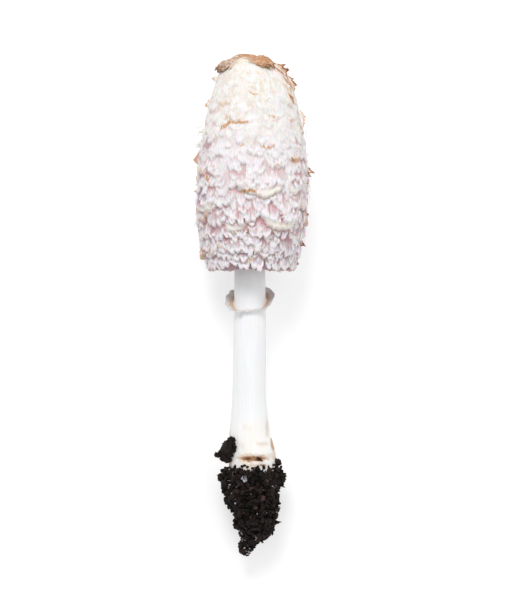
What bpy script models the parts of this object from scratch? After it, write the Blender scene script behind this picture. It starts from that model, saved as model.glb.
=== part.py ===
"""Shaggy ink cap as picked: a tall shaggy cap on a slim stem, with its loose ring and the soil on its foot.

Every piece is modelled upright about the stem, +Z up the mushroom and -Y its front, on one parent empty.
The empty then lays the mushroom down with its front upwards: it rests on the cap's flank and on the soil,
+Y runs from the foot to the crown, and the origin is under the middle of the whole, on the surface.
"""

import math
import random

import bmesh
import bpy
from mathutils import Matrix, Vector, noise

mm = 0.001
SEED = 11

# How it lies
TILT = math.radians(4.0)  # the crown end is higher, because the cap is thicker than the soil
AXIS_HEIGHT = 11.3 * mm  # of the stem's line above the surface, carried on to the upright model's zero height
MIDDLE = (0.9 * mm, 110.3 * mm)  # where the upright model's zero stands short of the origin, along X and Y

# Upright outlines: (radius, height) in mm. Height is measured from the tip of the soil.
BELL = [(0, 219.4), (5.5, 218.9), (9.7, 217.2), (13.4, 213.6), (16.1, 208.8), (18.4, 202), (20.7, 192),
        (22.4, 180), (23.2, 166), (22.7, 151), (21.1, 138), (18.5, 128.2)]
BELL_INSIDE = [(17.0, 127.4), (19.3, 143), (20.3, 164), (19.0, 183), (15.6, 199), (7.9, 207.5), (0, 207.6)]
STEM = [(0, 212.8), (4.6, 212.6), (5.4, 211.2), (6.2, 180), (6.8, 124), (7.05, 104), (7.1, 88), (7.4, 70),
        (8.0, 62), (8.9, 55), (9.9, 48.5), (10.4, 43), (10.2, 37), (8.8, 30.5), (5.6, 26.6), (0, 25.6)]
SOIL = [(0, 39.4), (9.6, 39.2), (12.0, 38.0), (13.0, 35.6), (13.3, 32.8), (12.9, 30.0), (12.2, 27.2),
        (11.4, 24.4), (10.5, 21.6), (9.7, 18.8), (8.9, 16.0), (8.0, 13.2), (6.8, 10.4), (5.0, 7.6),
        (3.0, 4.8), (2.0, 2.4), (0, 1.2)]

# Sideways course of each middle line: (height, x) in mm
STEM_COURSE = [(0, 0.8), (44, 1.0), (55, -0.1), (68, -0.4), (104, -0.1), (124, 0.0), (205, 1.4), (221, 1.4)]
CAP_COURSE = [(120, 0.6), (206, 1.5), (221, -0.6)]
SOIL_COURSE = [(0, -2.2), (4, -1.8), (6.5, 0.8), (10, 2.4), (15, 2.6), (20, 1.9), (25, 1.4), (31, 0.5),
               (40, 1.2)]

GAP = 0.3 * mm  # between pieces that touch
CAP_SIDES = 30
STEM_SIDES = 24

# Torn skin on the crown: sizes in mm, turns in degrees anticlockwise from +X seen from above
CROWN_SIDES = 40
CROWN_RINGS = (0.4, 0.75, 0.92, 1.0)  # shares of the way from the apex to the torn edge
CROWN_REACH = 15.0
CROWN_WAVES = [(2, 1.9, 0), (3, 1.2, 34)]  # waves round the edge, their depth and their turn
CROWN_FLAPS = [(196, 1.5, 6), (-14, 1.3, 8)]  # turn, lift and sharpness of the curled-up places
CROWN_CLEAR = 0.45  # from the flesh to the skin at its edge
CROWN_DOME = 0.55  # further clearance at the apex
TEAR = 2.4
TEAR_SHARE = 0.2
SKIN = 0.7 * mm  # thickness of the crown's skin and of the ring

# Ring: sizes in mm
RING_SIDES = 36
RING_STEPS = (0.0, 0.5, 1.0)
RING_HEIGHT = 112.0
RING_TIP = math.radians(27)  # its front is low
RING_SLOPE = math.radians(5)  # its left is low
RING_INNER = 7.75
RING_WIDTH = 3.1
RING_FRONT_WIDTH = 1.0
RING_CUP = 1.5  # the outer edge turns up by this much

# Soil
SOIL_SIDES = 24
SOIL_SAG = 0.8 * mm  # the clump hangs towards the resting surface
SOIL_LUMPS = (5.5 * mm, 0.24)  # their size, and how far they move the surface as a share of its radius
SOIL_GRAINS = (2.1 * mm, 0.16)
CRUMBS = 36
CRUMB_HEIGHTS = (37.5, 3.5)
CRUMB_SIZES = (1.5 * mm, 2.9 * mm)
GOLDEN_ANGLE = math.pi * (3 - math.sqrt(5))
LOOSE_CRUMBS = [((13.5, -3, 41.5), 1.9), ((15.2, -2, 34.2), 1.2), ((-13.8, -3, 34.6), 1.5),
                ((11.5, -2, 39.4), 2.4), ((-3.0, 0, 2.4), 2.3), ((-1.4, -0.5, 1.2), 1.5)]
SOIL_COLOUR = (0.022, 0.014, 0.011)
CLOD = {"radius": 4.1 * mm, "stretch": (1, 1.15, 1.3), "place": (-9.6 * mm, -4.4 * mm, 47.6 * mm),
        "lean": math.radians(24), "bumps": (2.4 * mm, 0.34)}
CLOD_LUMPS = [((-12.8, -4.4, 45.2), 2.1), ((-12.0, -5.6, 49.0), 1.9), ((-9.0, -6.6, 51.6), 2.0),
              ((-14.2, -4.6, 44.6), 1.4), ((-7.6, -7.8, 48.6), 1.9), ((-9.8, -5.4, 42.8), 1.9)]

# Scales of the cap. A pair of sizes holds from the crown's row to the margin's
SCALE_ROWS = 11
FIRST_ROW = 22.0 * mm  # down the bell from the apex to the first row of roots
LAST_ROW = 7.0 * mm  # from the last row of roots to the margin
SCALE_SPACING = (9.4 * mm, 7.5 * mm)
SCALE_LENGTH = (12.4 * mm, 9.8 * mm)
SCALE_OVERLAP = (0.98, 1.3)  # width over spacing
SCALE_LIFT = [(0, 0.75), (0.45, 2.05), (0.75, 1.9), (1, 1.65)]  # (share of the rows, mm off the flesh)
SCALE_SINK = 1.3 * mm
SCALE_SHAPE = [(0.0, 0.34, 0.7), (0.42, 0.52, 1.0), (0.84, 0.38, 0.95)]  # (along, half width, ridge in mm)
SCALE_YAW = 0.16
LIVELY = 0.16  # share of the scales whose tips curl out
LIVELY_CURL = (1.2 * mm, 2.4 * mm)
QUIET_CURL = (-0.4 * mm, 0.7 * mm)
PRESSED = (18.0, 50.0)  # degrees from straight down within which the surface presses the scales flat
PRESSED_LIFT = 0.35

# The broad scales with thick rolled lips that stand out at the front: (degrees to the right of the front,
# height of the lip in mm, degrees to each side of its middle, length and lift in mm). Their shape is given
# as (along, half width, ridge and swell in mm) and ends at a lip that is rounded by a share of the length.
BROAD_SCALES = [(9, 158.0, 25, 12.5, 2.5), (33, 144.6, 21, 14.0, 2.9), (-61, 151.0, 19, 12.5, 2.4),
                (-20, 142.6, 13, 11.5, 2.4), (-20, 188.5, 12, 10.5, 1.7), (52, 197.0, 11, 9.5, 1.6),
                (118, 160.0, 18, 12.0, 2.2), (-112, 172.0, 17, 12.0, 2.2)]
BROAD_SHAPE = [(0.0, 0.30, 0.5), (0.5, 0.44, 0.7), (0.86, 0.5, 0.95), (1.0, 0.42, -0.4)]
BROAD_ROUND = 0.2
BROAD_THICK = 0.7

# Gills inside the cap
GILLS = 30
GILL_THICK = 0.65 * mm
LONG_GILL = [(8.9, 131.2), (12.5, 129.6), (16.0, 128.3), (18.3, 131.5), (20.0, 140), (21.2, 153), (21.4, 168),
             (20.2, 183), (17.9, 195.5), (13.0, 205.5), (8.0, 208.6), (8.0, 165)]
SHORT_GILL = [(13.2, 131.6), (16.2, 128.6), (18.3, 131.5), (20.0, 140), (21.2, 153), (20.9, 163), (16.0, 150)]


def upright_object(name, mesh, parent):
    """A named object in the mushroom's own collection, on the parent that lays it down."""
    obj = bpy.data.objects.new(name, mesh)
    bpy.data.collections["shaggy_ink_cap"].objects.link(obj)
    obj.parent = parent
    return obj


def applied(obj):
    """The same object with its modifiers made part of its mesh."""
    bpy.context.view_layer.update()
    graph = bpy.context.evaluated_depsgraph_get()
    mesh = bpy.data.meshes.new_from_object(obj.evaluated_get(graph))
    obj.modifiers.clear()
    obj.data = mesh
    return obj


def eased(share):
    """The share, held between 0 and 1, with a gentle start and end."""
    share = min(max(share, 0), 1)
    return share * share * (3 - 2 * share)


def along(course, place):
    """The value of a course of (place, value) pairs at a place, eased between its points."""
    for (low, before), (high, after) in zip(course, course[1:]):
        if place <= high:
            return before + (after - before) * eased((place - low) / (high - low))
    return course[-1][1]


def follow_course(obj, course):
    """Moves each vertex sideways so that the upright piece follows a middle line."""
    for vertex in obj.data.vertices:
        vertex.co.x += along(course, vertex.co.z / mm) * mm


def turned(name, outline, sides, parent):
    """A solid turned about Z from an outline in mm that runs down its outer side from the axis."""
    mesh = bpy.data.meshes.new(name)
    points = [(radius * mm, 0, height * mm) for radius, height in outline]
    mesh.from_pydata(points, [(i, i + 1) for i in range(len(points) - 1)], [])
    obj = upright_object(name, mesh, parent)
    screw = obj.modifiers.new("turn", "SCREW")
    screw.steps = screw.render_steps = sides
    screw.use_merge_vertices = True
    screw.merge_threshold = 0.01 * mm
    return applied(obj)


def fuse(obj, pieces, name):
    """Joins the pieces to the object with one union and removes them."""
    repeats = bpy.data.collections.new(name)
    bpy.context.scene.collection.children.link(repeats)
    for number, piece in enumerate(pieces):
        part = bpy.data.objects.new(f"{name}_{number}", piece)
        part.parent = obj.parent
        repeats.objects.link(part)
    union = obj.modifiers.new("fuse", "BOOLEAN")
    union.operation = "UNION"
    union.operand_type = "COLLECTION"
    union.collection = repeats
    applied(obj)
    for part in list(repeats.objects):
        bpy.data.objects.remove(part)
    bpy.data.collections.remove(repeats)
    keep_outer_skin(obj)
    return obj


def cut(obj, cutter):
    """Takes the cutter's shape out of the object."""
    difference = obj.modifiers.new("cut", "BOOLEAN")
    difference.object = cutter
    applied(obj)
    keep_outer_skin(obj)
    return obj


def keep_outer_skin(obj):
    """Fills sealed hollows and drops loose scraps: only the largest connected surface stays."""
    work = bmesh.new()
    work.from_mesh(obj.data)
    left = set(work.verts)
    shells = []
    while left:
        shell = {left.pop()}
        rim = list(shell)
        while rim:
            vert = rim.pop()
            near = {edge.other_vert(vert) for edge in vert.link_edges}
            rim.extend(near - shell)
            shell |= near
        left -= shell
        shells.append(shell)
    shells.sort(key=len)
    loose = [vert for shell in shells[:-1] for vert in shell]
    bmesh.ops.delete(work, geom=loose, context="VERTS")
    work.to_mesh(obj.data)
    work.free()


def finish_piece(obj, colour, roughness):
    """Smooth shading with crisp folds, and the piece's own plain material."""
    obj.data.shade_smooth()
    obj.data.set_sharp_from_angle(angle=math.radians(40))
    material = bpy.data.materials.new(obj.name)
    material.use_nodes = True
    shader = material.node_tree.nodes["Principled BSDF"]
    shader.inputs["Base Color"].default_value = (*colour, 1)
    shader.inputs["Roughness"].default_value = roughness
    shader.inputs["Metallic"].default_value = 0
    obj.data.materials.clear()
    obj.data.materials.append(material)


def bell_lengths():
    """How far down the bell each point of its outline is from the apex."""
    lengths = [0.0]
    for (r0, z0), (r1, z1) in zip(BELL, BELL[1:]):
        lengths.append(lengths[-1] + math.hypot(r1 - r0, z1 - z0) * mm)
    return lengths


BELL_LENGTHS = bell_lengths()


def on_bell(down, angle):
    """The bell's surface point and outward normal, that far down from the apex."""
    span = 0
    while span < len(BELL) - 2 and down > BELL_LENGTHS[span + 1]:
        span += 1
    (r0, z0), (r1, z1) = BELL[span], BELL[span + 1]
    length = BELL_LENGTHS[span + 1] - BELL_LENGTHS[span]
    share = (down - BELL_LENGTHS[span]) / length
    around = Vector((math.cos(angle), math.sin(angle), 0))
    point = around * (r0 + (r1 - r0) * share) * mm + Vector((0, 0, (z0 + (z1 - z0) * share) * mm))
    outward = around * (z0 - z1) + Vector((0, 0, r1 - r0))
    return point, outward.normalized()


def pressed_share(angle):
    """0 where the resting surface presses the scales flat, 1 where they stand free. Straight down is +Y."""
    from_down = abs(math.degrees(math.remainder(angle - math.pi / 2, math.tau)))
    return eased((from_down - PRESSED[0]) / (PRESSED[1] - PRESSED[0]))


def blend(pair, share):
    """The value that share of the way from the first of a pair to the second."""
    return pair[0] + (pair[1] - pair[0]) * share


def scale_layout():
    """Where each scale grows and how large it is, row by row from the crown to the margin."""
    draw = random.Random(SEED)
    broad = broad_layout()
    layout = []
    for row in range(SCALE_ROWS):
        share = row / (SCALE_ROWS - 1)
        down = blend((FIRST_ROW, BELL_LENGTHS[-1] - LAST_ROW), share)
        radius = math.hypot(*on_bell(down, 0)[0].xy)
        count = round(math.tau * radius / blend(SCALE_SPACING, share))
        uneven = 1 - 0.7 * share ** 5  # the margin's row is the most even
        for number in range(count):
            curl = LIVELY_CURL if draw.random() < LIVELY else QUIET_CURL
            scale = {
                "down": down + draw.uniform(-1.6, 1.2) * uneven * mm,
                "angle": (number + 0.5 * (row % 2) + draw.uniform(-0.24, 0.24)) * math.tau / count,
                "length": blend(SCALE_LENGTH, share) * (1 + draw.uniform(-0.18, 0.2) * uneven),
                "width": math.tau * radius / count * draw.uniform(*SCALE_OVERLAP),
                "lift": along(SCALE_LIFT, share) * draw.uniform(0.7, 1.3) * mm,
                "curl": draw.uniform(*curl),
                "yaw": draw.uniform(-SCALE_YAW, SCALE_YAW),
                "solid": scale_solid,
            }
            if not any(hidden(scale, other, radius) for other in broad):
                layout.append(scale)
    return layout + broad


def broad_layout():
    """The broad scales that are placed one by one."""
    layout = []
    heights = [(height, down) for (_, height), down in zip(BELL, BELL_LENGTHS)][::-1]
    for turn, height, spread, length, lift in BROAD_SCALES:
        down = along(heights, height) - length * mm
        radius = math.hypot(*on_bell(down, 0)[0].xy)
        layout.append({
            "down": down,
            "angle": math.radians(turn - 90),
            "length": length * mm,
            "width": 2 * math.radians(spread) * radius,
            "lift": lift * mm,
            "solid": broad_scale_solid,
        })
    return layout


def hidden(scale, broad, radius):
    """Whether a scale would lie out of sight under a broad one."""
    apart = abs(math.remainder(scale["angle"] - broad["angle"], math.tau)) * radius
    below = scale["down"] + scale["length"] / 2 - broad["down"]
    return apart < 0.3 * broad["width"] and 0.15 < below / broad["length"] < 0.75


def closed_solid(work, name):
    """The mesh of a small closed solid, with its faces turned outwards."""
    bmesh.ops.recalc_face_normals(work, faces=work.faces)
    mesh = bpy.data.meshes.new(name)
    work.to_mesh(mesh)
    work.free()
    return mesh


def loft(work, sections):
    """Closes a row of sections, each a loop of vertices and the last perhaps one point, in triangles."""
    work.faces.new(sections[0])
    if len(sections[-1]) > 1:
        work.faces.new(sections[-1][::-1])
    for before, after in zip(sections, sections[1:]):
        for side in range(len(before)):
            corners = [before[side], before[(side + 1) % len(before)]]
            if len(after) > 1:
                corners.append(after[(side + 1) % len(after)])
            corners.append(after[side % len(after)])
            work.faces.new(corners)
    bmesh.ops.triangulate(work, faces=work.faces)


def broad_scale_solid(scale):
    """One broad scale: a fan rooted in the flesh that widens to a thick, rounded, rolled lip."""
    radius = math.hypot(*on_bell(scale["down"], 0)[0].xy)
    lift = scale["lift"] * blend((PRESSED_LIFT, 1), pressed_share(scale["angle"]))
    lip = BROAD_SHAPE[-2][0]
    work = bmesh.new()
    sections = []
    for share, half, ridge in BROAD_SHAPE:
        above = blend((-SCALE_SINK, lift), min(share / lip, 1) ** 0.8)
        upper, lower = [], []
        for across in (-1, -0.5, 0, 0.5, 1):
            down = scale["down"] + share * scale["length"] * (1 - BROAD_ROUND * across ** 2)
            point, normal = on_bell(down, scale["angle"] + half * across * scale["width"] / radius)
            swell = ridge * (1 - 0.5 * across ** 2)
            upper.append(work.verts.new(point + normal * (above + swell * mm)))
            if abs(across) < 1:
                under = min(swell - BROAD_THICK, -BROAD_THICK if share else 0)
                lower.append(work.verts.new(point + normal * (above + under * mm)))
        sections.append(upper + lower[::-1])
    loft(work, sections)
    return closed_solid(work, "broad_scale")


def scale_solid(scale):
    """One scale: a tongue rooted in the flesh, with a raised middle and a pointed tip down the bell."""
    free = pressed_share(scale["angle"])
    lift = scale["lift"] * blend((PRESSED_LIFT, 1), free)
    radius = math.hypot(*on_bell(scale["down"], 0)[0].xy)
    work = bmesh.new()
    sections = []
    for share, half, ridge in SCALE_SHAPE:
        angle = scale["angle"] + scale["yaw"] * share * scale["length"] / radius
        above = blend((-SCALE_SINK, lift), share) + scale["curl"] * free * share ** 3
        section = []
        for across, extra in ((-1, 0), (0, ridge * mm), (1, 0)):
            turn = across * half * scale["width"] / radius
            point, normal = on_bell(scale["down"] + share * scale["length"], angle + turn)
            section.append(work.verts.new(point + normal * (above + extra)))
        sections.append(section)
    angle = scale["angle"] + scale["yaw"] * scale["length"] / radius
    point, normal = on_bell(scale["down"] + scale["length"], angle)
    sections.append([work.verts.new(point + normal * (lift + scale["curl"] * free))])
    loft(work, sections)
    return closed_solid(work, "scale")


def gill_solid(outline, angle):
    """One gill: a thin upright blade that stands inwards from the cap's flesh towards the stem."""
    work = bmesh.new()
    corners = [work.verts.new((radius * mm, -GILL_THICK / 2, height * mm)) for radius, height in outline]
    blade = work.faces.new(corners)
    grown = bmesh.ops.extrude_face_region(work, geom=[blade])
    moved = [item for item in grown["geom"] if isinstance(item, bmesh.types.BMVert)]
    bmesh.ops.translate(work, verts=moved, vec=(0, GILL_THICK, 0))
    bmesh.ops.rotate(work, verts=work.verts, matrix=Matrix.Rotation(angle, 3, "Z"))
    return closed_solid(work, "gill")


def build_cap(parent, stem_room, floor):
    """The bell of flesh with its gills inside and its shaggy scales outside, all grown as one."""
    cap = turned("cap", BELL + BELL_INSIDE, CAP_SIDES, parent)
    step = math.tau / GILLS
    gills = [gill_solid(LONG_GILL, (number + 0.25) * step) for number in range(GILLS)]
    gills += [gill_solid(SHORT_GILL, (number + 0.75) * step) for number in range(GILLS)]
    scales = [scale["solid"](scale) for scale in scale_layout()]
    fuse(cap, gills + scales, "scales_and_gills")
    follow_course(cap, CAP_COURSE)
    cut(cap, stem_room)
    cut(cap, floor)
    finish_piece(cap, (0.86, 0.80, 0.79), 0.8)


def build_crown(parent):
    """The torn papery skin over the top of the cap, its ragged edge curling up in places."""
    draw = random.Random(SEED + 1)
    work = bmesh.new()
    apex = work.verts.new(on_bell(0, 0)[0] + Vector((0, 0, (CROWN_CLEAR + CROWN_DOME) * mm)))
    columns = []
    for side in range(CROWN_SIDES):
        angle = side * math.tau / CROWN_SIDES
        reach = CROWN_REACH + draw.uniform(-1.2, 0.8) - (TEAR if draw.random() < TEAR_SHARE else 0)
        for waves, depth, turn in CROWN_WAVES:
            reach += depth * math.cos(waves * angle + math.radians(turn))
        curl = draw.uniform(-0.1, 0.9)
        for turn, lift, sharpness in CROWN_FLAPS:
            curl += lift * max(0, math.cos(angle - math.radians(turn))) ** sharpness
        column = []
        for share in CROWN_RINGS:
            point, outward = on_bell(reach * share * mm, angle)
            above = CROWN_CLEAR + CROWN_DOME * (1 - share) + curl * share ** 5
            column.append(work.verts.new(point + outward * above * mm))
        columns.append(column)
    for here, after in zip(columns, columns[1:] + columns[:1]):
        work.faces.new((apex, here[0], after[0]))
        stitch(work, here, after)
    crown = skinned("crown", work, parent, 1)
    follow_course(crown, CAP_COURSE)
    finish_piece(crown, (0.62, 0.39, 0.22), 0.75)


def stitch(work, here, after):
    """Faces between two neighbouring columns of vertices."""
    for step in range(len(here) - 1):
        work.faces.new((here[step], here[step + 1], after[step + 1], after[step]))


def skinned(name, work, parent, offset):
    """A thin solid from an open surface: offset 1 thickens it outwards, 0 to both sides."""
    bmesh.ops.recalc_face_normals(work, faces=work.faces)
    mesh = bpy.data.meshes.new(name)
    work.to_mesh(mesh)
    work.free()
    obj = upright_object(name, mesh, parent)
    skin = obj.modifiers.new("skin", "SOLIDIFY")
    skin.thickness = SKIN
    skin.offset = offset
    return applied(obj)


def build_stem(parent):
    """The smooth stem, from its swollen foot in the soil to its top in the cap's flesh."""
    stem = turned("stem", STEM, STEM_SIDES, parent)
    follow_course(stem, STEM_COURSE)
    finish_piece(stem, (0.90, 0.90, 0.88), 0.6)


def build_stem_room(parent):
    """The cutter that leaves the gap round the stem in every piece that the stem passes through."""
    grown = [(radius + GAP / mm if radius else 0, height) for radius, height in STEM]
    grown[0] = (0, STEM[0][1] + GAP / mm)
    grown[1] = (STEM[1][0] + GAP / mm, STEM[1][1] + GAP / mm)
    grown[-2] = (STEM[-2][0], STEM[-2][1] - GAP / mm)
    grown[-1] = (0, STEM[-1][1] - GAP / mm)
    room = turned("stem_room", grown, STEM_SIDES, parent)
    follow_course(room, STEM_COURSE)
    return as_cutter(room)


def build_floor():
    """The cutter below the resting surface, which leaves the cap and the soil their flat spots."""
    bpy.ops.mesh.primitive_cube_add(size=0.6, location=(0, 0, -0.3))
    floor = bpy.context.object
    floor.name = "resting_surface"
    return as_cutter(floor)


def as_cutter(obj):
    """Sets an object aside as a cutter."""
    for collection in list(obj.users_collection):
        collection.objects.unlink(obj)
    bpy.data.collections["cutters"].objects.link(obj)
    obj.hide_render = True
    obj.display_type = "WIRE"
    return obj


def build_ring(parent):
    """The loose ring: a thin collar tipped forwards round the stem, its sides flaring clear of the stem."""
    draw = random.Random(SEED + 2)
    work = bmesh.new()
    columns = []
    for side in range(RING_SIDES):
        angle = side * math.tau / RING_SIDES
        front = max(0.0, -math.sin(angle)) ** 2
        width = blend((RING_WIDTH + draw.uniform(-0.35, 0.35), RING_FRONT_WIDTH), front)
        column = []
        for share in RING_STEPS:
            radius = RING_INNER + width * share
            x = radius * math.cos(angle)
            y = radius * math.sin(angle)
            height = RING_HEIGHT + math.tan(RING_TIP) * y + math.tan(RING_SLOPE) * x
            height += RING_CUP * (1 - front) * share ** 2
            column.append(work.verts.new((x * mm, y * mm, height * mm)))
        columns.append(column)
    for here, after in zip(columns, columns[1:] + columns[:1]):
        stitch(work, here, after)
    ring = skinned("ring", work, parent, 0)
    follow_course(ring, STEM_COURSE)
    finish_piece(ring, (0.66, 0.62, 0.56), 0.8)


def crumb(draw, place, size):
    """One crumb of soil: a small uneven lump."""
    work = bmesh.new()
    bmesh.ops.create_icosphere(work, subdivisions=1, radius=size)
    for vert in work.verts:
        vert.co *= draw.uniform(0.72, 1.2)
    stretch = Matrix.Diagonal((draw.uniform(0.8, 1.3), draw.uniform(0.8, 1.2), draw.uniform(0.7, 1.1)))
    spindle = Vector((draw.uniform(-1, 1), draw.uniform(-1, 1), 1))
    turn = Matrix.Rotation(draw.uniform(0, math.tau), 3, spindle)
    bmesh.ops.transform(work, matrix=(turn @ stretch).to_4x4(), verts=work.verts)
    bmesh.ops.translate(work, verts=work.verts, vec=place)
    return closed_solid(work, "crumb")


def crumble(obj):
    """Breaks up a turned surface of soil, in and out from its axis, into coarse lumps and finer grains."""
    for vert in obj.data.vertices:
        swell = 1
        for size, share in (SOIL_LUMPS, SOIL_GRAINS):
            swell += noise.noise(vert.co / size) * share
        vert.co.x *= swell
        vert.co.y *= swell


def build_soil(parent, stem_room, floor):
    """The clump of soil that came up with the foot: a lumpy cone with crumbs and a crumbling tail."""
    draw = random.Random(SEED + 3)
    soil = turned("soil", SOIL, SOIL_SIDES, parent)
    crumble(soil)
    follow_course(soil, SOIL_COURSE)
    radii = [(height, radius) for radius, height in reversed(SOIL)]
    crumbs = []
    for number in range(CRUMBS):
        height = blend(CRUMB_HEIGHTS, number / CRUMBS)
        angle = number * GOLDEN_ANGLE + draw.uniform(-0.3, 0.3)
        radius = along(radii, height) + draw.uniform(-1.1, 0.2)
        place = Vector((radius * math.cos(angle), radius * math.sin(angle), height))
        place.x += along(SOIL_COURSE, height)
        crumbs.append(crumb(draw, place * mm, draw.uniform(*CRUMB_SIZES)))
    for place, size in LOOSE_CRUMBS:
        crumbs.append(crumb(draw, Vector(place) * mm, size * mm))
    fuse(soil, crumbs, "crumbs")
    for vertex in soil.data.vertices:
        vertex.co.y += SOIL_SAG
    cut(soil, stem_room)
    cut(soil, floor)
    finish_piece(soil, SOIL_COLOUR, 0.95)


def build_side_clod(parent, stem_room):
    """The smaller clod that clings to the flank of the stem's foot, above the main clump."""
    draw = random.Random(SEED + 4)
    work = bmesh.new()
    bmesh.ops.create_icosphere(work, subdivisions=2, radius=CLOD["radius"])
    size, share = CLOD["bumps"]
    for vert in work.verts:
        vert.co *= 1 + share * noise.noise(vert.co / size)
    bmesh.ops.scale(work, verts=work.verts, vec=CLOD["stretch"])
    bmesh.ops.rotate(work, verts=work.verts, matrix=Matrix.Rotation(CLOD["lean"], 3, "Y"))
    bmesh.ops.translate(work, verts=work.verts, vec=CLOD["place"])
    mesh = bpy.data.meshes.new("side_clod")
    work.to_mesh(mesh)
    work.free()
    clod = upright_object("side_clod", mesh, parent)
    fuse(clod, [crumb(draw, Vector(place) * mm, size * mm) for place, size in CLOD_LUMPS], "clod_lumps")
    cut(clod, stem_room)
    finish_piece(clod, SOIL_COLOUR, 0.95)


def build():
    """Clears the scene and builds every piece on the parent that lays the mushroom down."""
    for obj in list(bpy.data.objects):
        bpy.data.objects.remove(obj)
    for name in ("shaggy_ink_cap", "cutters"):
        collection = bpy.data.collections.new(name)
        bpy.context.scene.collection.children.link(collection)
    lying = bpy.data.objects.new("lying", None)
    bpy.data.collections["shaggy_ink_cap"].objects.link(lying)
    lying.rotation_euler = (TILT - math.pi / 2, 0, 0)
    lying.location = (-MIDDLE[0], -MIDDLE[1], AXIS_HEIGHT)
    stem_room = build_stem_room(lying)
    floor = build_floor()
    build_stem(lying)
    build_cap(lying, stem_room, floor)
    build_crown(lying)
    build_ring(lying)
    build_soil(lying, stem_room, floor)
    build_side_clod(lying, stem_room)


build()
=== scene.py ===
import math
import random

import bmesh
import bpy
from mathutils import Matrix, Vector, noise


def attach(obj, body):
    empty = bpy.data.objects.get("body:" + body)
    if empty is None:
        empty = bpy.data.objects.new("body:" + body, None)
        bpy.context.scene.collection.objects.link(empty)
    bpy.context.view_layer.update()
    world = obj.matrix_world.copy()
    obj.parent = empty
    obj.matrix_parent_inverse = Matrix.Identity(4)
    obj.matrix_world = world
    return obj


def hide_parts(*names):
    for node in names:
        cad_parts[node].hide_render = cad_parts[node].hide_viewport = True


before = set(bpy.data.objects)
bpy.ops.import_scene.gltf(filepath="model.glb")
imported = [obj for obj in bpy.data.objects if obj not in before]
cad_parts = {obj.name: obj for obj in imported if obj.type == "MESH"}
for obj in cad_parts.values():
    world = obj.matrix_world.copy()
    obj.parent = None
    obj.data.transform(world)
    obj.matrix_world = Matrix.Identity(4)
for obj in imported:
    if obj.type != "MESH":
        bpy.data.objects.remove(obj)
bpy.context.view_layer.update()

mm = 0.001

# Every piece is built upright in mm, +Z up the mushroom and -Y its front, and then laid down as the frame is
laying = {"tilt": 4.0, "axisHeight": 11.3, "middle": (0.9, 110.3), "softness": 0.12}
layDown = Matrix.Translation((-laying["middle"][0], -laying["middle"][1], laying["axisHeight"]))
layDown = layDown @ Matrix.Rotation(math.radians(laying["tilt"]) - math.pi / 2, 4, "X")

# Forms that several pieces share, as in the CAD model: radius and height, and height and bend along X
bell = [(0, 219.4), (5.5, 218.9), (9.7, 217.2), (13.4, 213.6), (16.1, 208.8), (18.4, 202), (20.7, 192),
        (22.4, 180), (23.2, 166), (22.7, 151), (21.1, 138), (18.5, 128.2)]
stemCourse = [(0, 0.8), (44, 1.0), (55, -0.1), (68, -0.4), (104, -0.1), (124, 0.0), (205, 1.4), (221, 1.4)]
capCourse = [(120, 0.6), (206, 1.5), (221, -0.6)]
straight = [(0, 0), (1, 0)]


def eased(share):
    share = min(max(share, 0), 1)
    return share * share * (3 - 2 * share)


def along(course, place):
    for (low, before), (high, after) in zip(course, course[1:]):
        if place <= high:
            return before + (after - before) * eased((place - low) / (high - low))
    return course[-1][1]


def blend(pair, share):
    return pair[0] + (pair[1] - pair[0]) * share


def around(values, turn):
    # a value between the members of a closed ring of values, at a share of the way round
    place = (turn % 1) * len(values)
    low = int(place) % len(values)
    return blend((values[low], values[(low + 1) % len(values)]), eased(place - int(place)))


def rough(x, y, z):
    # smooth noise at a place
    return noise.noise(Vector((x, y, z)))


def facing(turn):
    # the angle at so many degrees right of the front
    return math.radians(turn - 90)


def fromFront(angle):
    # how many degrees right of the front an angle is
    return math.degrees(math.remainder(angle + math.pi / 2, math.tau))


def turns(count):
    # the places of a closed ring: number, angle and direction
    for side in range(count):
        angle = side * math.tau / count
        yield side, angle, math.cos(angle), math.sin(angle)


def curveThrough(points, span, share):
    # place and direction on a smooth curve through an outline
    p1, p2 = points[span], points[span + 1]
    p0 = points[span - 1] if span else (2 * p1[0] - p2[0], p2[1])
    p3 = points[span + 2] if span + 2 < len(points) else (2 * p2[0] - p1[0], 2 * p2[1] - p1[1])
    t = min(max(share, 0), 1)
    place, way = [], []
    for a, b, c, d in zip(p0, p1, p2, p3):
        slope, curve, twist = c - a, 2 * a - 5 * b + 4 * c - d, 3 * b - a - 3 * c + d
        place.append(0.5 * (2 * b + slope * t + curve * t ** 2 + twist * t ** 3))
        way.append(0.5 * (slope + 2 * curve * t + 3 * twist * t ** 2))
    over = share - t
    return (place[0] + way[0] * over, place[1] + way[1] * over), way


bellLengths = [0.0]
for (r0, z0), (r1, z1) in zip(bell, bell[1:]):
    bellLengths.append(bellLengths[-1] + math.hypot(r1 - r0, z1 - z0))


def bellSpan(down):
    # the span of the bell's outline that far down from its apex, and the share of the way along it
    span = 0
    while span < len(bell) - 2 and down > bellLengths[span + 1]:
        span += 1
    return span, (down - bellLengths[span]) / (bellLengths[span + 1] - bellLengths[span])


def bellRow(down):
    # radius, height and outward direction of the bell
    (radius, height), (wayR, wayZ) = curveThrough(bell, *bellSpan(down))
    size = math.hypot(wayR, wayZ)
    return radius, height, -wayZ / size, wayR / size


def plainRadius(down):
    span, share = bellSpan(down)
    return blend((bell[span][0], bell[span + 1][0]), share)


def downAt(height):
    return along([(z, down) for (_, z), down in zip(bell, bellLengths)][::-1], height)


def onBell(row, angle, above):
    radius, height, outR, outZ = row
    reach = radius + outR * above
    return Vector((reach * math.cos(angle), reach * math.sin(angle), height + outZ * above))


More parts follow.
